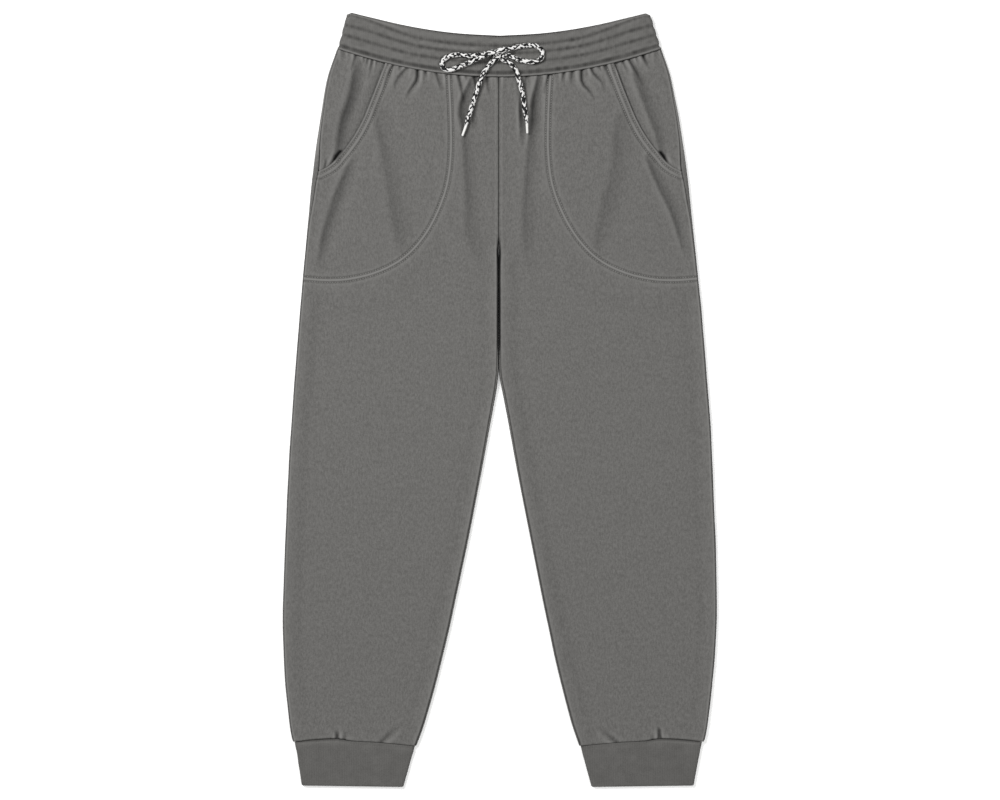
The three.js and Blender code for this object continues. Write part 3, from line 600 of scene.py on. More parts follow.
# Long soft troughs: x, y, width and depth along each
hollows = [
    [(-178, 428, 6, 0), (-181, 416, 7, 1), (-188, 381, 8, 1.5), (-198, 351, 8, 1.5),
     (-203, 318, 7, 1.2), (-206, 306, 6, 0.9)],
    [(-184, 306, 6, 0), (-191, 290, 7, 0.9), (-203, 262, 8, 1.2), (-214, 230, 8, 1.1),
     (-222, 200, 7, 1), (-228, 166, 7, 0)],
    [(168, 424, 5, 0), (173, 406, 7, 0.8), (186, 372, 8, 0.85), (198, 338, 7, 0.85), (204, 311, 5, 0.9)],
    [(184, 312, 6, 0), (190, 298, 6, 0.8), (203, 269, 7, 1.05), (217, 240, 7, 1), (227, 210, 6, 0.8),
     (236, 176, 6, 0)],
    [(-158, 385, 10, 0), (-151, 345, 11, 0.6), (-140, 287, 12, 0.75), (-128, 216, 13, 0.8),
     (-120, 182, 13, 0)],
    [(156, 368, 11, 0), (150, 341, 12, 0.7), (147, 293, 13, 0.75), (136, 250, 13, 0.8),
     (127, 207, 12, 0.6), (121, 180, 11, 0)],
    [(-33, 406, 5, 0.7), (-45, 381, 6, 1.6), (-48, 360, 7, 1.5), (-43, 330, 8, 0.9), (-38, 251, 10, 0.8),
     (-36, 208, 12, 0.7), (-24, 166, 10, 0)],
    [(50, 404, 5, 0.7), (43, 377, 6, 1.8), (42, 352, 7, 1.7), (39, 318, 8, 0.9), (34, 245, 10, 0.8),
     (35, 196, 12, 0.6), (38, 160, 10, 0)],
    [(-33, 374, 4, 0), (-34, 352, 4.4, 0.8), (-35, 330, 5, 0)],
    [(26, 386, 3.6, 0), (26.5, 362, 4, 1.2), (28, 336, 4.6, 0.7), (29, 318, 5, 0)],
]
# The gape at the foot of each pocket mouth, where the facing falls away
gapes = [
    [(-197, 316, 1.8, 0), (-201.5, 311, 3.4, 3.2), (-206, 305.5, 3.2, 3.8), (-210.5, 300.5, 2, 2.2),
     (-215, 297, 1.2, 0)],
    [(198.5, 315, 1.8, 0), (202.5, 310.5, 2.8, 3), (206, 305.5, 2.8, 3.6), (209.5, 301, 1.8, 2),
     (213, 297, 1.2, 0)],
    [(-219, 307, 1.2, 0), (-219.5, 300, 1.4, 1), (-221, 293, 1.4, 1.4)],
    [(218, 296, 1.2, 0), (220, 291, 1.6, 1.8)],
]
# Pinches above the cuffs
pinches = [
    [(-205, -431, 2.6, 2.6), (-205.5, -423, 2.6, 1.6), (-206, -415, 3, 0)],
    [(-197, -431, 3.4, 1.2), (-194, -416, 4, 0)],
    [(-214, -430, 2.6, 0.8), (-211, -420, 3, 0)],
    [(-149, -431, 4.2, 1.4), (-139, -421, 4.6, 1.1), (-125, -409, 6, 0)],
    [(201.5, -431, 2.4, 2.6), (201, -421, 2.4, 2.1), (200, -411, 2.4, 0)],
    [(193, -431, 3.4, 0.9), (192, -418, 4, 0)],
    [(146, -431, 4.2, 1.4), (137, -424, 4.6, 1.1), (125, -412, 6, 0)],
]
# Low ridges beside the pinches and the deepest gathers
ridges = [
    [(-200.5, -431, 3, 0.9), (-199, -414, 4, 0)], [(-212, -431, 3.6, 0.7), (-216, -412, 4, 0)],
    [(-139, -432, 4, 0.6), (-116, -409, 5, 0)], [(209, -431, 3.6, 0.8), (215, -412, 4, 0)],
    [(196, -431, 3, 0.7), (192, -414, 4, 0)], [(137, -432, 4, 0.6), (121, -416, 5, 0)],
    [(-98, 416, 4, 0.7), (-102, 396, 4, 0.6), (-110, 384, 4, 0)],
    [(-111, 417, 4, 0.6), (-121, 392, 4, 0)], [(97, 416, 4, 0.7), (98, 398, 4, 0.5), (108, 384, 4, 0)],
    [(109.5, 417, 4, 0.7), (121, 392, 4, 0)], [(-87, 413, 3.6, 0.5), (-85, 392, 4, 0)],
    [(-58, 410, 4, 0.5), (-54, 385, 4, 0)], [(53, 409, 4, 0.5), (51, 383, 4, 0)],
    [(-26, 408, 4, 0.5), (-22, 382, 4, 0)], [(39, 408, 4, 0.5), (38, 386, 4, 0)],
    [(85, 413, 3.6, 0.5), (83, 396, 4, 0)], [(-176, 434, 3, 0.6), (-179, 414, 4, 0)],
    [(-148, 426, 4, 0.6), (-153, 402, 4, 0)], [(147, 426, 4, 0.6), (155, 402, 4, 0)],
]


def troughs(lines, x, y, sharp=0.0, lean=0.0):
    # the deepest of some troughs that run along curves; a sharp one is a V in a soft trough, and
    # one that leans is steeper on its left
    depth = np.zeros(np.shape(x))
    for points in lines:
        curve = curveThrough(points, 7)
        for (x0, y0, wide0, deep0), (x1, y1, wide1, deep1) in zip(curve[:-1], curve[1:]):
            near = (np.abs(x - (x0 + x1) / 2) < 40) & (np.abs(y - (y0 + y1) / 2) < 40)
            px, py = x[near], y[near]
            along = ((px - x0) * (x1 - x0) + (py - y0) * (y1 - y0)) / ((x1 - x0) ** 2 + (y1 - y0) ** 2)
            along = np.clip(along, 0, 1)
            beside = px - mix(x0, x1, along)
            away = np.hypot(beside, py - mix(y0, y1, along)) / (1 + lean * np.tanh(beside / 2))
            wide, deep = mix(wide0, wide1, along), mix(deep0, deep1, along)
            profile = mix(bump(away, wide), np.exp(-away / (0.4 * wide)), sharp)
            depth[near] = np.maximum(depth[near], deep * profile)
    return depth


def lieOf(side, half, y):
    # where a place of the even outline really lies along x
    inner, outer = read(innerEdge, y), read(outerEdge, y)
    column = 1 if side > 0 else 3
    width = outer - inner
    aboveLegs = smooth(10, 60, y)
    fromInner = np.clip((half - inner) / mix(width, 90, aboveLegs), 0, 1)
    fromOuter = np.clip((half - inner) / width, 0, 1) ** mix(1, 2, aboveLegs)
    innerShift, outerShift = read(drift, y, column), read(drift, y, column + 1)
    return side * half + innerShift * (1 - fromInner) + outerShift * fromOuter


def hemRise(half, layer):
    return read(hemLine if layer == "front" else [hemLine[0], hemLine[-1]], half)


def rowY(level, half, layer="front"):
    # a row's place down the garment, at a distance from the centre
    gap = cut["waistGap"] if layer == "front" else 0
    waist = cut["waistCurve"] * half * half * (1 - smooth(0, 190, level))
    hem = hemRise(half, layer) * smooth(cut["hemThickens"], cut["hemLevel"], level)
    return cut["waistY"] - np.maximum(level, gap) + waist + hem


def rowEdges(level):
    # where rows meet the folded edges, and how far in the seams lie
    level = np.asarray(level, float)
    outer = np.full(level.shape, float(cut["bandHalf"]))
    inner = np.full(level.shape, cut["seamGap"] / 2)
    for _ in range(8):
        outer = read(outerEdge, rowY(level, outer))
    legShare = smooth(cut["crotchLevel"] - 20, cut["crotchLevel"] + 9, level)
    for _ in range(8):
        inner = mix(cut["seamGap"] / 2, read(innerEdge, rowY(level, inner)), legShare)
    y = rowY(level, outer)
    return {"level": level, "outer": outer, "inner": inner, "legShare": legShare,
            "outerInset": read(seamInset, y, 1), "innerInset": read(seamInset, y, 2) * legShare}


def levelAt(half, y):
    level = cut["waistY"] - y
    for _ in range(10):
        level = level + rowY(level, half) - y
    return level


def rim(distance):
    # height of a folded edge's outside, at a distance in from its outermost line
    radius = cut["edgeRadius"]
    inward = np.clip(distance, 0, radius)
    return radius + np.sqrt(np.maximum(radius ** 2 - (radius - inward) ** 2, 0))


def rimShare(distance):
    return 1 - smooth(cut["edgeRadius"], cut["rimReach"], distance)


mouthLine = np.array([(read(mouthEdge, y), y) for y in np.linspace(428, 289, 70)])
bagSeamLine = curveThrough(bagSeam, 3)
stitch = {
    "mouthRows": (4, 10.3), "bagRows": (-2.8, 2.8), "pitch": 3.2, "length": 1.8, "thread": 0.36,
    "groove": 1.25, "grooveWidth": 1.15,
}


# how many times deeper than in the solids the folds are cut here
fold = {"gather": 1.9, "hollow": 2.8, "pinch": 2, "ripple": 0.7}


def frontHeight(side, half, y, edges):
    # top face of a front panel over its solid's form, with creases, seams and sewn lines
    x = lieOf(side, half, y)
    seam = distanceTo(bagSeamLine, half, y)
    insideBag = (half > read(bagEdge, y)) & (y > 152)
    overBag = np.where(insideBag, 1, 1 - smooth(0, 46, seam))
    z = mix(read(layHeight, y, 1), read(layHeight, y, 2), overBag)
    outward, inward = edges["outer"] - half, half - edges["inner"]
    z = mix(z, rim(outward), rimShare(outward))
    z = mix(z, mix(z, rim(inward), rimShare(inward)), edges["legShare"])
    mouth = distanceTo(mouthLine, half, y)
    z = z + cut["mouthHem"] * (1 - smooth(7, 12, mouth))
    z = z - fold["gather"] * troughs(gathers, x, y, 0.6, 0.25)
    z = z - fold["hollow"] * troughs(hollows, x, y, 0, 0.35)
    z = z - fold["pinch"] * troughs(pinches, x, y, 0.35) + troughs(ridges, x, y)
    # sewn lines
    rows = stitch["bagRows"][1]
    z = z + 0.55 * bump(seam, 1.3) - stitch["groove"] * bump(seam - rows, stitch["grooveWidth"])
    for row in stitch["mouthRows"]:
        z = z - stitch["groove"] * bump(mouth - row, stitch["grooveWidth"])
    # seam allowances pressed under the folded edges and the centre seam
    z = z + 0.75 * bump(outward - edges["outerInset"] - 2, 1) + 0.3 * bump(inward - 3.6, 1.6)
    # slow unevenness of cloth that lies by itself
    z = z + 0.22 * wander(x, y, 70, 3) + 0.1 * wander(x, y, 24, 4) * smooth(-380, 100, y)
    # fine fullness between the gathers
    nearWaist = 1 - smooth(2, 26, edges["level"])
    z = z + fold["ripple"] * nearWaist ** 2 * wander(x, y * 0.1, 8, 5)
    return z


def across(start, end, count, nearStart, nearEnd):
    # places across rows: close together near both ends, and even between
    start, end = start[:, None], end[:, None]
    first, last = start + nearStart[-1], end - nearEnd[-1]
    even = np.linspace(0, 1, count - len(nearStart) - len(nearEnd) + 2)[None, 1:-1]
    return np.hstack([start + np.array(nearStart)[None], mix(first, last, even),
                      (end - np.array(nearEnd)[None])[:, ::-1]])


def rowLevels(parts):
    # levels down a panel: (from, to, rows) for each stretch
    levels = [np.linspace(start, end, count, endpoint=False) for start, end, count in parts]
    return np.append(np.concatenate(levels), parts[-1][1])


def everyFourth(grid):
    return grid[::4, ::4]


front = {
    "columns": 193, "edgeDrop": 1.3, "edgeRoll": 1.4, "shell": 1.1,
    "nearSeam": (0, 0.2, 0.5, 0.9, 1.4, 2, 2.7, 3.5, 4.4, 5.5),
    "nearMouth": (0, 0.15, 0.4, 0.8, 1.3, 2, 2.8, 3.6, 4.4, 5.3, 6.3, 7.4, 8.5, 9.5, 10.3, 11.1, 12, 13.2),
    "rows": [(0, 3, 8), (3, 40, 28), (40, 270, 172), (270, 780, 116), (780, 832, 32), (832, 838, 8)],
}


def rolled(distance, roll=1.0, drop=1.0):
    # how far a sewn or turned edge falls away towards its end
    t = 1 - np.clip(distance / (front["edgeRoll"] * roll), 0, 1)
    return front["edgeDrop"] * drop * (1 - np.sqrt(np.maximum(1 - t * t, 0)))


def inSlit(inward, y):
    # how deep in the slit between the legs a point lies, from 0 to 1
    width = mix(1.1, 2.8, smooth(50, 72, y)) + 0.9 * bump(y - 186, 12) - 0.4 * bump(y - 150, 18)
    return (1 - smooth(0.45 * width, width, inward)) * (1 - smooth(182, 214, y)) * smooth(26, 38, y)


def frontPanel(word, side):
    levels = rowLevels(front["rows"])
    edges = rowEdges(levels)
    reach = edges["outer"] - edges["outerInset"]
    for _ in range(14):
        y = rowY(levels, reach)
        mouth = np.where(y > cut["mouthFootY"], read(mouthEdge, y), edges["outer"])
        reach = mix(reach, np.minimum(mouth, edges["outer"] - edges["outerInset"]), 0.7)
    half = across(edges["inner"] + edges["innerInset"], reach, front["columns"],
                  front["nearSeam"], front["nearMouth"])
    grid = {key: np.broadcast_to(value[:, None], half.shape) for key, value in edges.items()}
    y = rowY(grid["level"], half)
    top = frontHeight(side, half, y, grid)
    startEdge, endEdge = half - half[:, :1], half[:, -1:] - half
    atMouth = smooth(cut["mouthFootY"] - 2, cut["mouthFootY"] + 6, rowY(levels, reach))[:, None]
    # the inseam is drawn in more than the centre seam
    inseam = 1 - smooth(20, 70, y)
    z = top - rolled(startEdge, mix(1, 1.8, inseam), mix(1, 1.3, inseam))
    z = z - rolled(endEdge, 1, mix(0.7, 0.9, atMouth))
    # the waist's edge is caught flat; the hem is drawn in most under the pinch
    drawn = 0.45 + 0.75 * smooth(176, 200, half) * (1 - smooth(238, 252, half))
    z = z - rolled(levels[:, None], 1, 0.3) - rolled(cut["hemLevel"] - levels[:, None], 2, drawn)
    z = np.maximum(z, cut["lowestTop"])
    x = lieOf(side, half, y)
    outer = np.stack([x, y, z], -1)
    # the inner face, under the lowest cloth near it
    low = lowestNear(top, 4)
    thick = cut["clothThick"]
    under = np.maximum(low - front["shell"], cut["lowestUnder"] + 0.25)
    under[:, [0, -1]] = np.maximum(everyFourth(z)[:, [0, -1]] - thick, cut["lowestUnder"])
    under[[0, -1]] = np.maximum(everyFourth(z)[[0, -1]] - thick, cut["lowestUnder"])
    inner = everyFourth(outer).copy()
    inner[..., 2] = np.minimum(under, everyFourth(z) - 0.9)
    outward = everyFourth(grid["outer"]) - everyFourth(half)
    inward = everyFourth(half) - everyFourth(grid["inner"])
    turnOut = np.clip(1 - outward / cut["edgeRadius"], 0, 1) * thick
    turnIn = np.clip(1 - inward / cut["edgeRadius"], 0, 1) * thick * everyFourth(grid["legShare"])
    inner[..., 0] += side * (turnIn - turnOut)
    # painted highlight on ridges and painted shade in troughs, with more painted shade in the long hollows
    paintedShading = proudness(z, half, y) - 0.35 * troughs(hollows, x, y, 0, 0.35)
    # painted shade along the inseam, where its allowance is drawn in
    fromSeam = half - grid["inner"]
    paintedShading = paintedShading - 0.7 * inseam * (1 - smooth(2.4, 4.6, fromSeam))
    # painted shadow: the slit between the legs gets the darkest colour
    paintedShading = mix(paintedShading, -3 * paintedLightHeight, inSlit(fromSeam, y))
    piece = clothWall(f"frontPanel_{word}", outer, inner, fleeceCloth, paintedShading=paintedShading)
    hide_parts(f"front_{word}")


back = {
    "rollSteps": 12, "floorSteps": 84, "seamRecess": 0.9,
    "rows": [(0, 3, 6), (3, 40, 22), (40, 240, 76), (240, 780, 110), (780, 838, 26)],
}
# the back waist is gathered too; its creases lie on the underside
backGathers = [[(3.5 - 0.97 * x, y + (2 - i % 3 * 3 if k else 0), width, 0.75 * deep)
                for k, (x, y, width, deep) in enumerate(line)] for i, line in enumerate(gathers)]
backFolds = [[(3 - x, y, width, 0.7 * deep) for x, y, width, deep in line] for line in pinches]


def backPanel(word, side):
    levels = rowLevels(back["rows"])
    edges = rowEdges(levels)
    edges["inner"] = edges["inner"] - cut["seamGap"] / 2 * (1 - edges["legShare"])
    radius, thick = cut["edgeRadius"], cut["clothThick"]
    startInset = edges["outerInset"] - cut["seamGap"]
    outerCentre = edges["outer"] - radius
    flatTop = np.maximum(startInset - radius, 0)
    startAngle = np.arccos(1 - np.minimum(startInset, radius) / radius)
    innerCentre = mix(edges["inner"] + 9, edges["inner"] + radius, edges["legShare"])
    endInset = np.maximum(edges["innerInset"] - cut["seamGap"], 0)
    endAngle = np.arccos(1 - np.minimum(endInset, radius) / radius)
    legShare = edges["legShare"]

    def section(inset, keep=slice(None)):
        # one face of the cloth, this far inside its outer face, as columns of distance and height
        columns = [(outerCentre - flatTop + (radius - inset) * np.cos(startAngle),
                    radius + (radius - inset) * np.sin(startAngle))]
        for t in np.linspace(0, 1, back["rollSteps"]):
            angle = mix(startAngle - 0.02, -math.pi / 2, t)
            columns.append((outerCentre + (radius - inset) * np.cos(angle),
                            radius + (radius - inset) * np.sin(angle)))
        for t in np.linspace(0, 1, back["floorSteps"] + 1)[1:-1]:
            columns.append((mix(outerCentre, innerCentre, t), np.full(levels.shape, inset)))
        for t in np.linspace(0, 1, back["rollSteps"] + 1):
            angle = mix(-math.pi / 2, endAngle, t)
            flat = (mix(innerCentre, edges["inner"], min(1, t / 0.6)),
                    np.full(levels.shape, mix(inset, thick / 2, 0.85 * float(smooth(0.6, 1, t)))))
            turned = (innerCentre - (innerCentre - edges["inner"] - inset) * np.cos(angle),
                      radius + (radius - inset) * np.sin(angle))
            columns.append((mix(flat[0], turned[0], legShare), mix(flat[1], turned[1], legShare)))
        both = np.array(columns)[keep]
        return both[:, 0].T, both[:, 1].T

    half, z = section(0)
    fromSeam = half - edges["inner"][:, None]
    y = rowY(levels[:, None], half, "back")
    x = side * half
    depth = 0.8 * troughs(backGathers, x, y, 0.3) + troughs(backFolds, x, y, 0.3)
    depth += 0.16 * (1 + np.clip(wander(x, y, 60, 8), -1, 1)) * smooth(0, 12, fromSeam)
    depth += back["seamRecess"] * (1 - smooth(0, 2.2, fromSeam)) * (1 - legShare[:, None])
    depth += rolled(levels[:, None], 1.3, 0.8) + rolled(cut["hemLevel"] - levels[:, None], 2, 0.8)
    # depth goes into the cloth: up from the floor, and towards the middle of a rolled edge
    dx, dz = np.gradient(half, axis=1), np.gradient(z, axis=1)
    size = np.maximum(np.hypot(dx, dz), 1e-6)
    sideways = np.where(half > 60, 1, legShare[:, None] ** 4)
    half, z = half + dz / size * depth * sideways, z - dx / size * depth
    z = np.maximum(z, 0)
    y = rowY(levels[:, None], half, "back")
    outer = np.stack([lieOf(side, half, y), y, z], -1)
    innerHalf, innerZ = section(thick)
    y = rowY(levels[:, None], innerHalf, "back")
    inner = np.stack([lieOf(side, innerHalf, y), y, innerZ], -1)
    columns = (half.shape[1] - 1) // 4 * 4 + 1
    inward = half - edges["inner"][:, None]
    # painted highlight where it is folded at the hips, painted shade in its creases, and painted shadow in
    # the slit
    atFold = (1 - smooth(3, 7, edges["outer"][:, None] - half)) * smooth(285, 330, outer[..., 1])
    paintedShading = mix(paintedLightHeight * atFold - 0.6 * depth, -3 * paintedLightHeight, inSlit(inward, outer[..., 1]))
    piece = clothWall(f"backPanel_{word}", outer[:, :columns], everyFourth(inner[:, :columns]),
                      fleeceCloth, paintedShading=paintedShading[:, :columns])
    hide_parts(f"back_{word}")


bag = {
    "columns": 161, "rows": [(0, 3, 6), (3, 120, 90), (120, 252, 40)],
    "nearSeam": (0, 1, 2.4), "nearSide": (0, 0.2, 0.5, 1, 1.8, 2.8, 4),
    "rise": 17, "riseAtFoot": 5,  # how far out of the mouth's edge the facing is at its full height
}


def pocketBag(word, side):
    levels = rowLevels(bag["rows"])
    edges = rowEdges(levels)
    edgeY = rowY(levels, edges["outer"])
    sewn = mix(edges["outerInset"] + cut["seamGap"], cut["bagFootInset"],
               1 - smooth(cut["mouthFootY"] - 6, cut["mouthFootY"] + 1, edgeY))
    inner = np.full(levels.shape, float(bagEdge[0][1]))
    for _ in range(8):
        inner = read(bagEdge, rowY(levels, inner))
    half = across(inner + 1, edges["outer"] - sewn, bag["columns"], bag["nearSeam"], bag["nearSide"])
    grid = {key: np.broadcast_to(value[:, None], half.shape) for key, value in edges.items()}
    y = rowY(grid["level"], half)
    x = lieOf(side, half, y)
    past = np.where(y > cut["mouthFootY"], half - read(mouthEdge, y), 0)
    nearFoot = 1 - smooth(292, 330, y)
    shown = smooth(-5, mix(bag["rise"], bag["riseAtFoot"], nearFoot), past)
    gape = np.minimum(1, past / 1.5) * troughs(gapes, x, y) * (past > 0)
    outward = grid["outer"] - half
    facing = mix(read(layHeight, y, 3), rim(outward), rimShare(outward))
    facing = facing - 1.25 * fold["gather"] * troughs(gathers, x, y, 0.6, 0.25)
    soft = troughs(hollows, x, y, 0, 0.35)
    facing = facing - 0.65 * fold["hollow"] * soft
    facing = facing + fold["ripple"] * (1 - smooth(2, 26, grid["level"])) ** 2 * wander(x, y * 0.1, 8, 5)
    facing = facing + 0.5 * bump(outward - grid["outerInset"] - 2, 1) + 0.2 * wander(x, y, 40, 6)
    z = mix(bagLay, facing, shown) - gape
    z = z - rolled(half[:, -1:] - half, 1, 0.7) - rolled(levels[:, None], 1.2, 1)
    z = np.maximum(z, cut["lowestTop"])
    outerFace = np.stack([x, y, z], -1)
    inner = everyFourth(outerFace).copy()
    inner[..., 2] = np.maximum(lowestNear(z, 4) - 0.9, cut["lowestUnder"])
    inner[:, -1, 2] = everyFourth(z)[:, -1] - cut["bagThick"]
    inner[..., 0] -= side * np.clip(1 - everyFourth(outward) / cut["edgeRadius"], 0, 1) * cut["bagThick"]
    # painted highlight on ridges, and painted shade in troughs, in the gape and in the long hollows
    piece = clothWall(f"pocketBag_{word}", outerFace, inner, fleeceCloth,
                      paintedShading=proudness(z, half, y) - 0.5 * gape - 0.6 * soft)
    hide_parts(f"pocket_bag_{word}")


band = {
    "half": 202, "topHalf": 188, "footHalf": 197, "height": 52, "radius": 5.3,
    "top": [(0, 459.6), (50, 462.4), (88, 467), (126, 474), (164, 483), (188, 488.6), (200, 491.6)],
    "hollow": 0.35, "rise": 1.15,
    "front": 344, "back": 136, "fold": 14, "profile": 69,
    # the sewn lines between the channels: share of the height at the centre and at the ends
    "lines": ((0.105, 0.115), (0.35, 0.4), (0.57, 0.66), (0.76, 0.92)),
    "lineDepth": 0.34, "lineWidth": 2.4, "stripDepth": 0.95, "stripWidth": 2.1, "lip": 1.8,
    "dip": 1.9,  # how much lower the front's top edge lies than the back's, at the centre
}


def roundStations(frontCount, backCount, foldCount):
    # round a flattened tube: front from right to left, a fold, the back, and a fold
    right, left = math.pi / 2, -math.pi / 2
    stations = [(t, right) for t in np.linspace(-1, 1, frontCount + 1)]
    stations += [(1, mix(right, left, i / foldCount)) for i in range(1, foldCount)]
    stations += [(t, left) for t in np.linspace(1, -1, backCount + 1)]
    stations += [(-1, mix(left, -1.5 * math.pi, i / foldCount)) for i in range(1, foldCount)]
    return np.array(stations)


def bandLineAt(line, t):
    return mix(line[0], line[1], smooth(0.5, 0.95, np.abs(t)))


def waistband():
    stations = roundStations(band["front"], band["back"], band["fold"])
    t, angle = stations[:, :1], stations[:, 1:]
    profile = np.linspace(0, 1, band["profile"] - 8)[None, :]

    def place(v, radius, swell):
        centre = t * (mix(band["half"], band["topHalf"], v) - band["radius"])
        x = centre + (radius + swell) * np.cos(angle)
        lowerEdge = cut["waistY"] + cut["waistCurve"] * x * x
        x = x - mix(2.5, 4.1, v) * np.clip(-t, 0, 1) + 0.9 * np.clip(t, 0, 1)
        # the corners are rounded
        nearEnd = np.abs(t) + band["radius"] / band["topHalf"] * np.abs(np.cos(angle))
        top = read(band["top"], np.abs(x)) - 2.4 * smooth(0.985, 1.03, nearEnd) ** 2
        dip = band["dip"] * (1 - t * t) * (1 - smooth(0, -0.8, np.sin(angle)))
        y = mix(lowerEdge, top - dip, v)
        return np.stack([x, y + 0 * x, band["radius"] + (radius + swell) * np.sin(angle)], -1)

    v = profile * 0.95
    lines = [np.zeros(t.shape)] + [bandLineAt(line, t) for line in band["lines"]] + [1.03 + 0 * t]
    # where each station lies along the band; the back reads another stretch of the unevenness
    around = t * 190 + 8 * np.cos(angle) + 400 * (np.sin(angle) < -0.5)
    uneven, dashes = wander(around, 0 * v, 26, 11), wander(around, v * 9, 7, 12)
    swell = np.zeros((len(t), v.shape[1]))
    for k in range(1, len(lines) - 1):
        share = (v - lines[k]) / (lines[k + 1] - lines[k])
        crest = 1 - np.abs(2 * np.clip(share, 0, 1) - 1) ** 2.2
        swell += np.where((share >= 0) & (share <= 1), band["rise"] * crest * (1 + 0.2 * uneven), 0)
    for k, line in enumerate(lines[1:-1]):
        away = (v - line) * band["height"]
        width = band["stripWidth"] if k == 0 else band["lineWidth"]
        deep = band["stripDepth"] if k == 0 else band["lineDepth"]
        strength = deep * (1 + 0.5 * wander(around, 0 * v, 34, 15 + k)) + 0.4 * dashes
        swell -= strength * bump(away, width)
        swell += 0.75 * wander(around, 0 * v, 7.5, 13 + 3 * k) * bump(away, 4.5)
    # the lip of the seam along the lower edge
    swell += band["lip"] * bump(v * band["height"] - 1.5, 1.5)
    swell += 0.25 * wander(around, v * 34, 9, 14)
    # the centre front seam crosses the foot of the band
    swell -= 0.9 * bump(t * band["footHalf"] + 2.5, 1) * (1 - smooth(0.12, 0.17, v)) * (np.sin(angle) > 0)
    swell -= 0.3 * (1 - smooth(0, 0.014, v))
    # the underside lies flat, so its channels are pressed in and its lines are cut upwards
    lift = np.sin(angle)
    pressed = -0.45 * (band["rise"] - np.clip(swell, -0.6, band["rise"]))
    swell = mix(pressed, swell, smooth(-0.95, -0.1, lift))
    swell = swell * (1 - 0.5 * np.abs(np.cos(angle)))
    radius = band["radius"]
    outer = [place(v, radius, swell)]
    # the top edge, folded over
    last = swell[:, -1:]
    mid, halfThick = (radius + band["hollow"]) / 2, (radius - band["hollow"]) / 2
    for turn in np.linspace(0.12, 1, 8) * math.pi * 0.9:
        rise = 0.95 + 0.045 * math.sin(min(turn, math.pi / 2))
        outer.append(place(np.full(t.shape, rise), mid + halfThick * math.cos(turn),
                           last * max(0, math.cos(turn))))
    outer = np.concatenate(outer, 1)
    inner = np.concatenate([place(np.full(t.shape, w), band["hollow"], 0)
                            for w in np.linspace(0, 0.97, (outer.shape[1] - 1) // 4 + 1)], 1)[::4]
    upward = np.broadcast_to(v * band["height"], swell.shape)
    # painted highlight on the channels' crests and painted shade in the sewn lines
    paintedShading = np.zeros(outer.shape[:2])
    paintedShading[:, :v.shape[1]] = swell - runningMean(runningMean(swell, upward, paintedLightReach), upward,
                                                            paintedLightReach)
    # the top channel is the palest: a painted highlight
    paintedShading[:, :v.shape[1]] += 0.3 * smooth(0.8, 0.93, v)
    piece = clothWall("waistBand", outer, inner, ribCloth, closed=True, paintedShading=paintedShading)
    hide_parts("waistband")


cuffCut = {
    "top": (106.2, 258), "foot": (121, 248), "footY": -488.1, "slope": 0.014, "radius": 3.6,
    "height": 58, "hollow": 0.3, "front": 116, "back": 52, "fold": 12, "profile": 45,
}


def cuffPiece(word, side):
    stations = roundStations(cuffCut["front"], cuffCut["back"], cuffCut["fold"])
    t, angle = stations[:, :1], stations[:, 1:]
    lift = np.sin(angle)

    def place(v, radius):
        low = mix(cuffCut["top"][0], cuffCut["foot"][0], v) + cuffCut["radius"]
        high = mix(cuffCut["top"][1], cuffCut["foot"][1], v) - cuffCut["radius"]
        half = mix(low, high, (t + 1) / 2) + radius * np.cos(angle)
        seamRise = mix(hemRise(half, "back"), hemRise(half, "front"), smooth(0.5, 1, lift))
        seamY = cut["waistY"] - cut["hemLevel"] + seamRise - cut["seamGap"]
        footY = cuffCut["footY"] + cuffCut["slope"] * (half - cuffCut["foot"][0])
        y = mix(seamY, footY, v)
        return np.stack([lieOf(side, half, y), y, cuffCut["radius"] + radius * lift], -1)

    down = np.linspace(0, 0.965, cuffCut["profile"] - 8)[None, :]
    half = side * (180 + 65 * t + 4 * np.cos(angle))
    swell = 0.16 * wander(half, down * 55, 30, 21) + 0.08 * wander(half, down * 20, 9, 22)
    swell = swell + 0.4 * wander(half * 0.5, down * 55, 26, 23) * bump(down - 0.2, 0.2)
    # the sewn edge is drawn in most under the pinch
    drawn = 0.35 + 1.3 * smooth(176, 200, np.abs(half)) * (1 - smooth(238, 252, np.abs(half)))
    swell = swell - 1.1 * drawn * (1 - smooth(0, 0.05, down)) - 0.25 * bump(down - 0.05, 0.03)
    # fullness drawn in under the pinch
    for line in pinches:
        middle, _, width, deep = line[0]
        swell = swell - 0.4 * deep * bump(half - middle, width * 1.5) * bump(down, 0.1)
    swell = np.where(lift < 0, np.minimum(swell, 0) * 0.6, swell)
    radius = cuffCut["radius"]
    outer = [place(down, radius + swell)]
    mid, halfThick = (radius + cuffCut["hollow"]) / 2, (radius - cuffCut["hollow"]) / 2
    for turn in np.linspace(0.12, 1, 8) * math.pi * 0.9:
        fall = 0.965 + 0.03 * math.sin(min(turn, math.pi / 2))
        outer.append(place(np.full(t.shape, fall), mid + halfThick * math.cos(turn)))
    outer = np.concatenate(outer, 1)
    inner = np.concatenate([place(np.full(t.shape, w), cuffCut["hollow"])
                            for w in np.linspace(0, 0.97, (outer.shape[1] - 1) // 4 + 1)], 1)[::4]
    downward = np.broadcast_to(down * cuffCut["height"], swell.shape)
    # painted highlight on the swells and painted shade in the dips
    paintedShading = np.zeros(outer.shape[:2])
    paintedShading[:, :down.shape[1]] = swell - runningMean(swell, downward, paintedLightReach)
    piece = clothWall(f"ribCuff_{word}", outer, inner, ribCloth, closed=True, paintedShading=paintedShading)
    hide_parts(f"cuff_{word}")


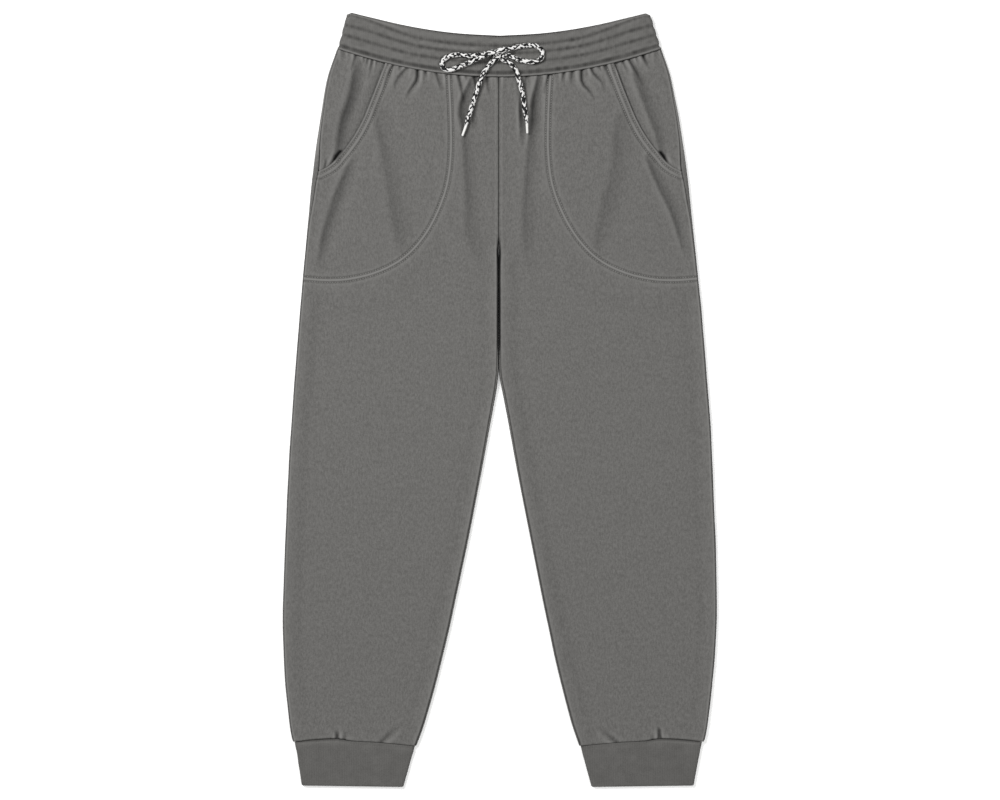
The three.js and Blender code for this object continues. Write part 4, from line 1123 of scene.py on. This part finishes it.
def threads(name, starts, ends):
    # one mesh of many short stitches, each a rounded strand whose ends dip into the cloth
    starts, ends, thick = np.array(starts), np.array(ends), stitch["thread"]
    ahead = ends - starts
    ahead /= np.linalg.norm(ahead, axis=1)[:, None]
    beside = np.cross(ahead, (0, 0, 1))
    beside /= np.linalg.norm(beside, axis=1)[:, None]
    above = np.cross(beside, ahead)
    rings = [(0, 0.3, -0.9), (0.14, 0.85, 0.1), (0.5, 1, 0.7), (0.86, 0.85, 0.1), (1, 0.3, -0.9)]
    around = np.arange(5) / 5 * 2 * math.pi
    points = []
    for t, wide, lift in rings:
        middle = mix(starts, ends, t) + above * lift * thick
        ring = (np.cos(around)[None, :, None] * beside[:, None]
                + np.sin(around)[None, :, None] * above[:, None])
        points.append(middle[:, None] + thick * wide * ring)
    points = np.stack(points, 1)
    local = np.arange(25).reshape(5, 5)
    one = []
    for r in range(4):
        for k in range(5):
            one.append([local[r, k], local[r, (k + 1) % 5], local[r + 1, (k + 1) % 5], local[r + 1, k]])
    caps = [local[0][::-1].tolist(), local[4].tolist()]
    faces = []
    for n in range(len(starts)):
        faces += [[int(i) + 25 * n for i in face] for face in one + caps]
    piece = facingOut(addMesh(name, points.reshape(-1, 3), faces, [threadFinish]))


def movedAside(line, shift):
    # a line in plan moved sideways
    ahead = np.gradient(line, axis=0)
    ahead /= np.linalg.norm(ahead, axis=1)[:, None]
    return line + shift * np.stack([-ahead[:, 1], ahead[:, 0]], 1)


def panelStitches(word, side):
    # twin rows along the pocket mouth and round the pocket bag
    starts, ends = [], []
    runs = [(bagSeamLine, row) for row in stitch["bagRows"]]
    runs += [(mouthLine[::-1], row) for row in stitch["mouthRows"]]
    for line, shift in runs:
        dense = curveThrough(movedAside(line, shift), stitch["pitch"])
        half, y = dense[:, 0], dense[:, 1]
        level = levelAt(half, y)
        edges = rowEdges(level)
        z = frontHeight(side, half, y, edges)
        keep = (level > 2.2) & (half < edges["outer"] - edges["outerInset"] - 1.5)
        points = np.stack([lieOf(side, half, y), y, z], 1)
        for k in range(len(points) - 1):
            if keep[k] and keep[k + 1]:
                starts.append(points[k])
                ends.append(mix(points[k], points[k + 1], stitch["length"] / stitch["pitch"]))
    threads(f"topstitch_{word}", starts, ends)


for word, side in sides:
    panelStitches(word, side)
    frontPanel(word, side)
    backPanel(word, side)
    pocketBag(word, side)
    cuffPiece(word, side)
    print(f"{word} leg done")
waistband()
print("waistband done")


# Stage and light
studio = {"floor": "#f4f4f3", "glow": 0.35, "floorSize": 8000, "world": 0.15, "key": 87, "fill": 38}

size = studio["floorSize"] * mm
floorMesh = bpy.data.meshes.new("paleFloor")
floorMesh.from_pydata([(-size, -size, -0.0006), (size, -size, -0.0006), (size, size, -0.0006),
                       (-size, size, -0.0006)], [], [(0, 1, 2, 3)])
paleFloor = bpy.data.objects.new("paleFloor", floorMesh)
bpy.context.scene.collection.objects.link(paleFloor)
floorFinish, floorTree = newMaterial("matte opal acrylic, lit from below")
paper = addNode(floorTree, "ShaderNodeBsdfPrincipled", {
    "Base Color": linear(studio["floor"]), "Roughness": 0.9, "Specular IOR Level": 0.1,
    "Emission Color": (1, 1, 1, 1), "Emission Strength": studio["glow"]})
addNode(floorTree, "ShaderNodeOutputMaterial", {"Surface": paper.outputs[0]})
floorMesh.materials.append(floorFinish)

world = bpy.data.worlds.new("studio")
world.use_nodes = True
world.node_tree.nodes["Background"].inputs[0].default_value = (1, 1, 1, 1)
world.node_tree.nodes["Background"].inputs[1].default_value = studio["world"]
bpy.context.scene.world = world

for name, place, width, power in (("key", (-1.4, 1.1, 2.6), 1.2, studio["key"]),
                                  ("fill", (1.5, -0.4, 2.7), 1.3, studio["fill"])):
    lamp = bpy.data.lights.new(name, "AREA")
    lamp.energy, lamp.size = power, width
    holder = bpy.data.objects.new(name, lamp)
    holder.location = place
    aim = -np.array(place)
    holder.rotation_euler = (math.atan2(math.hypot(aim[0], aim[1]), -aim[2]), 0,
                             math.atan2(aim[1], aim[0]) - math.pi / 2)
    bpy.context.scene.collection.objects.link(holder)
print("stage done")
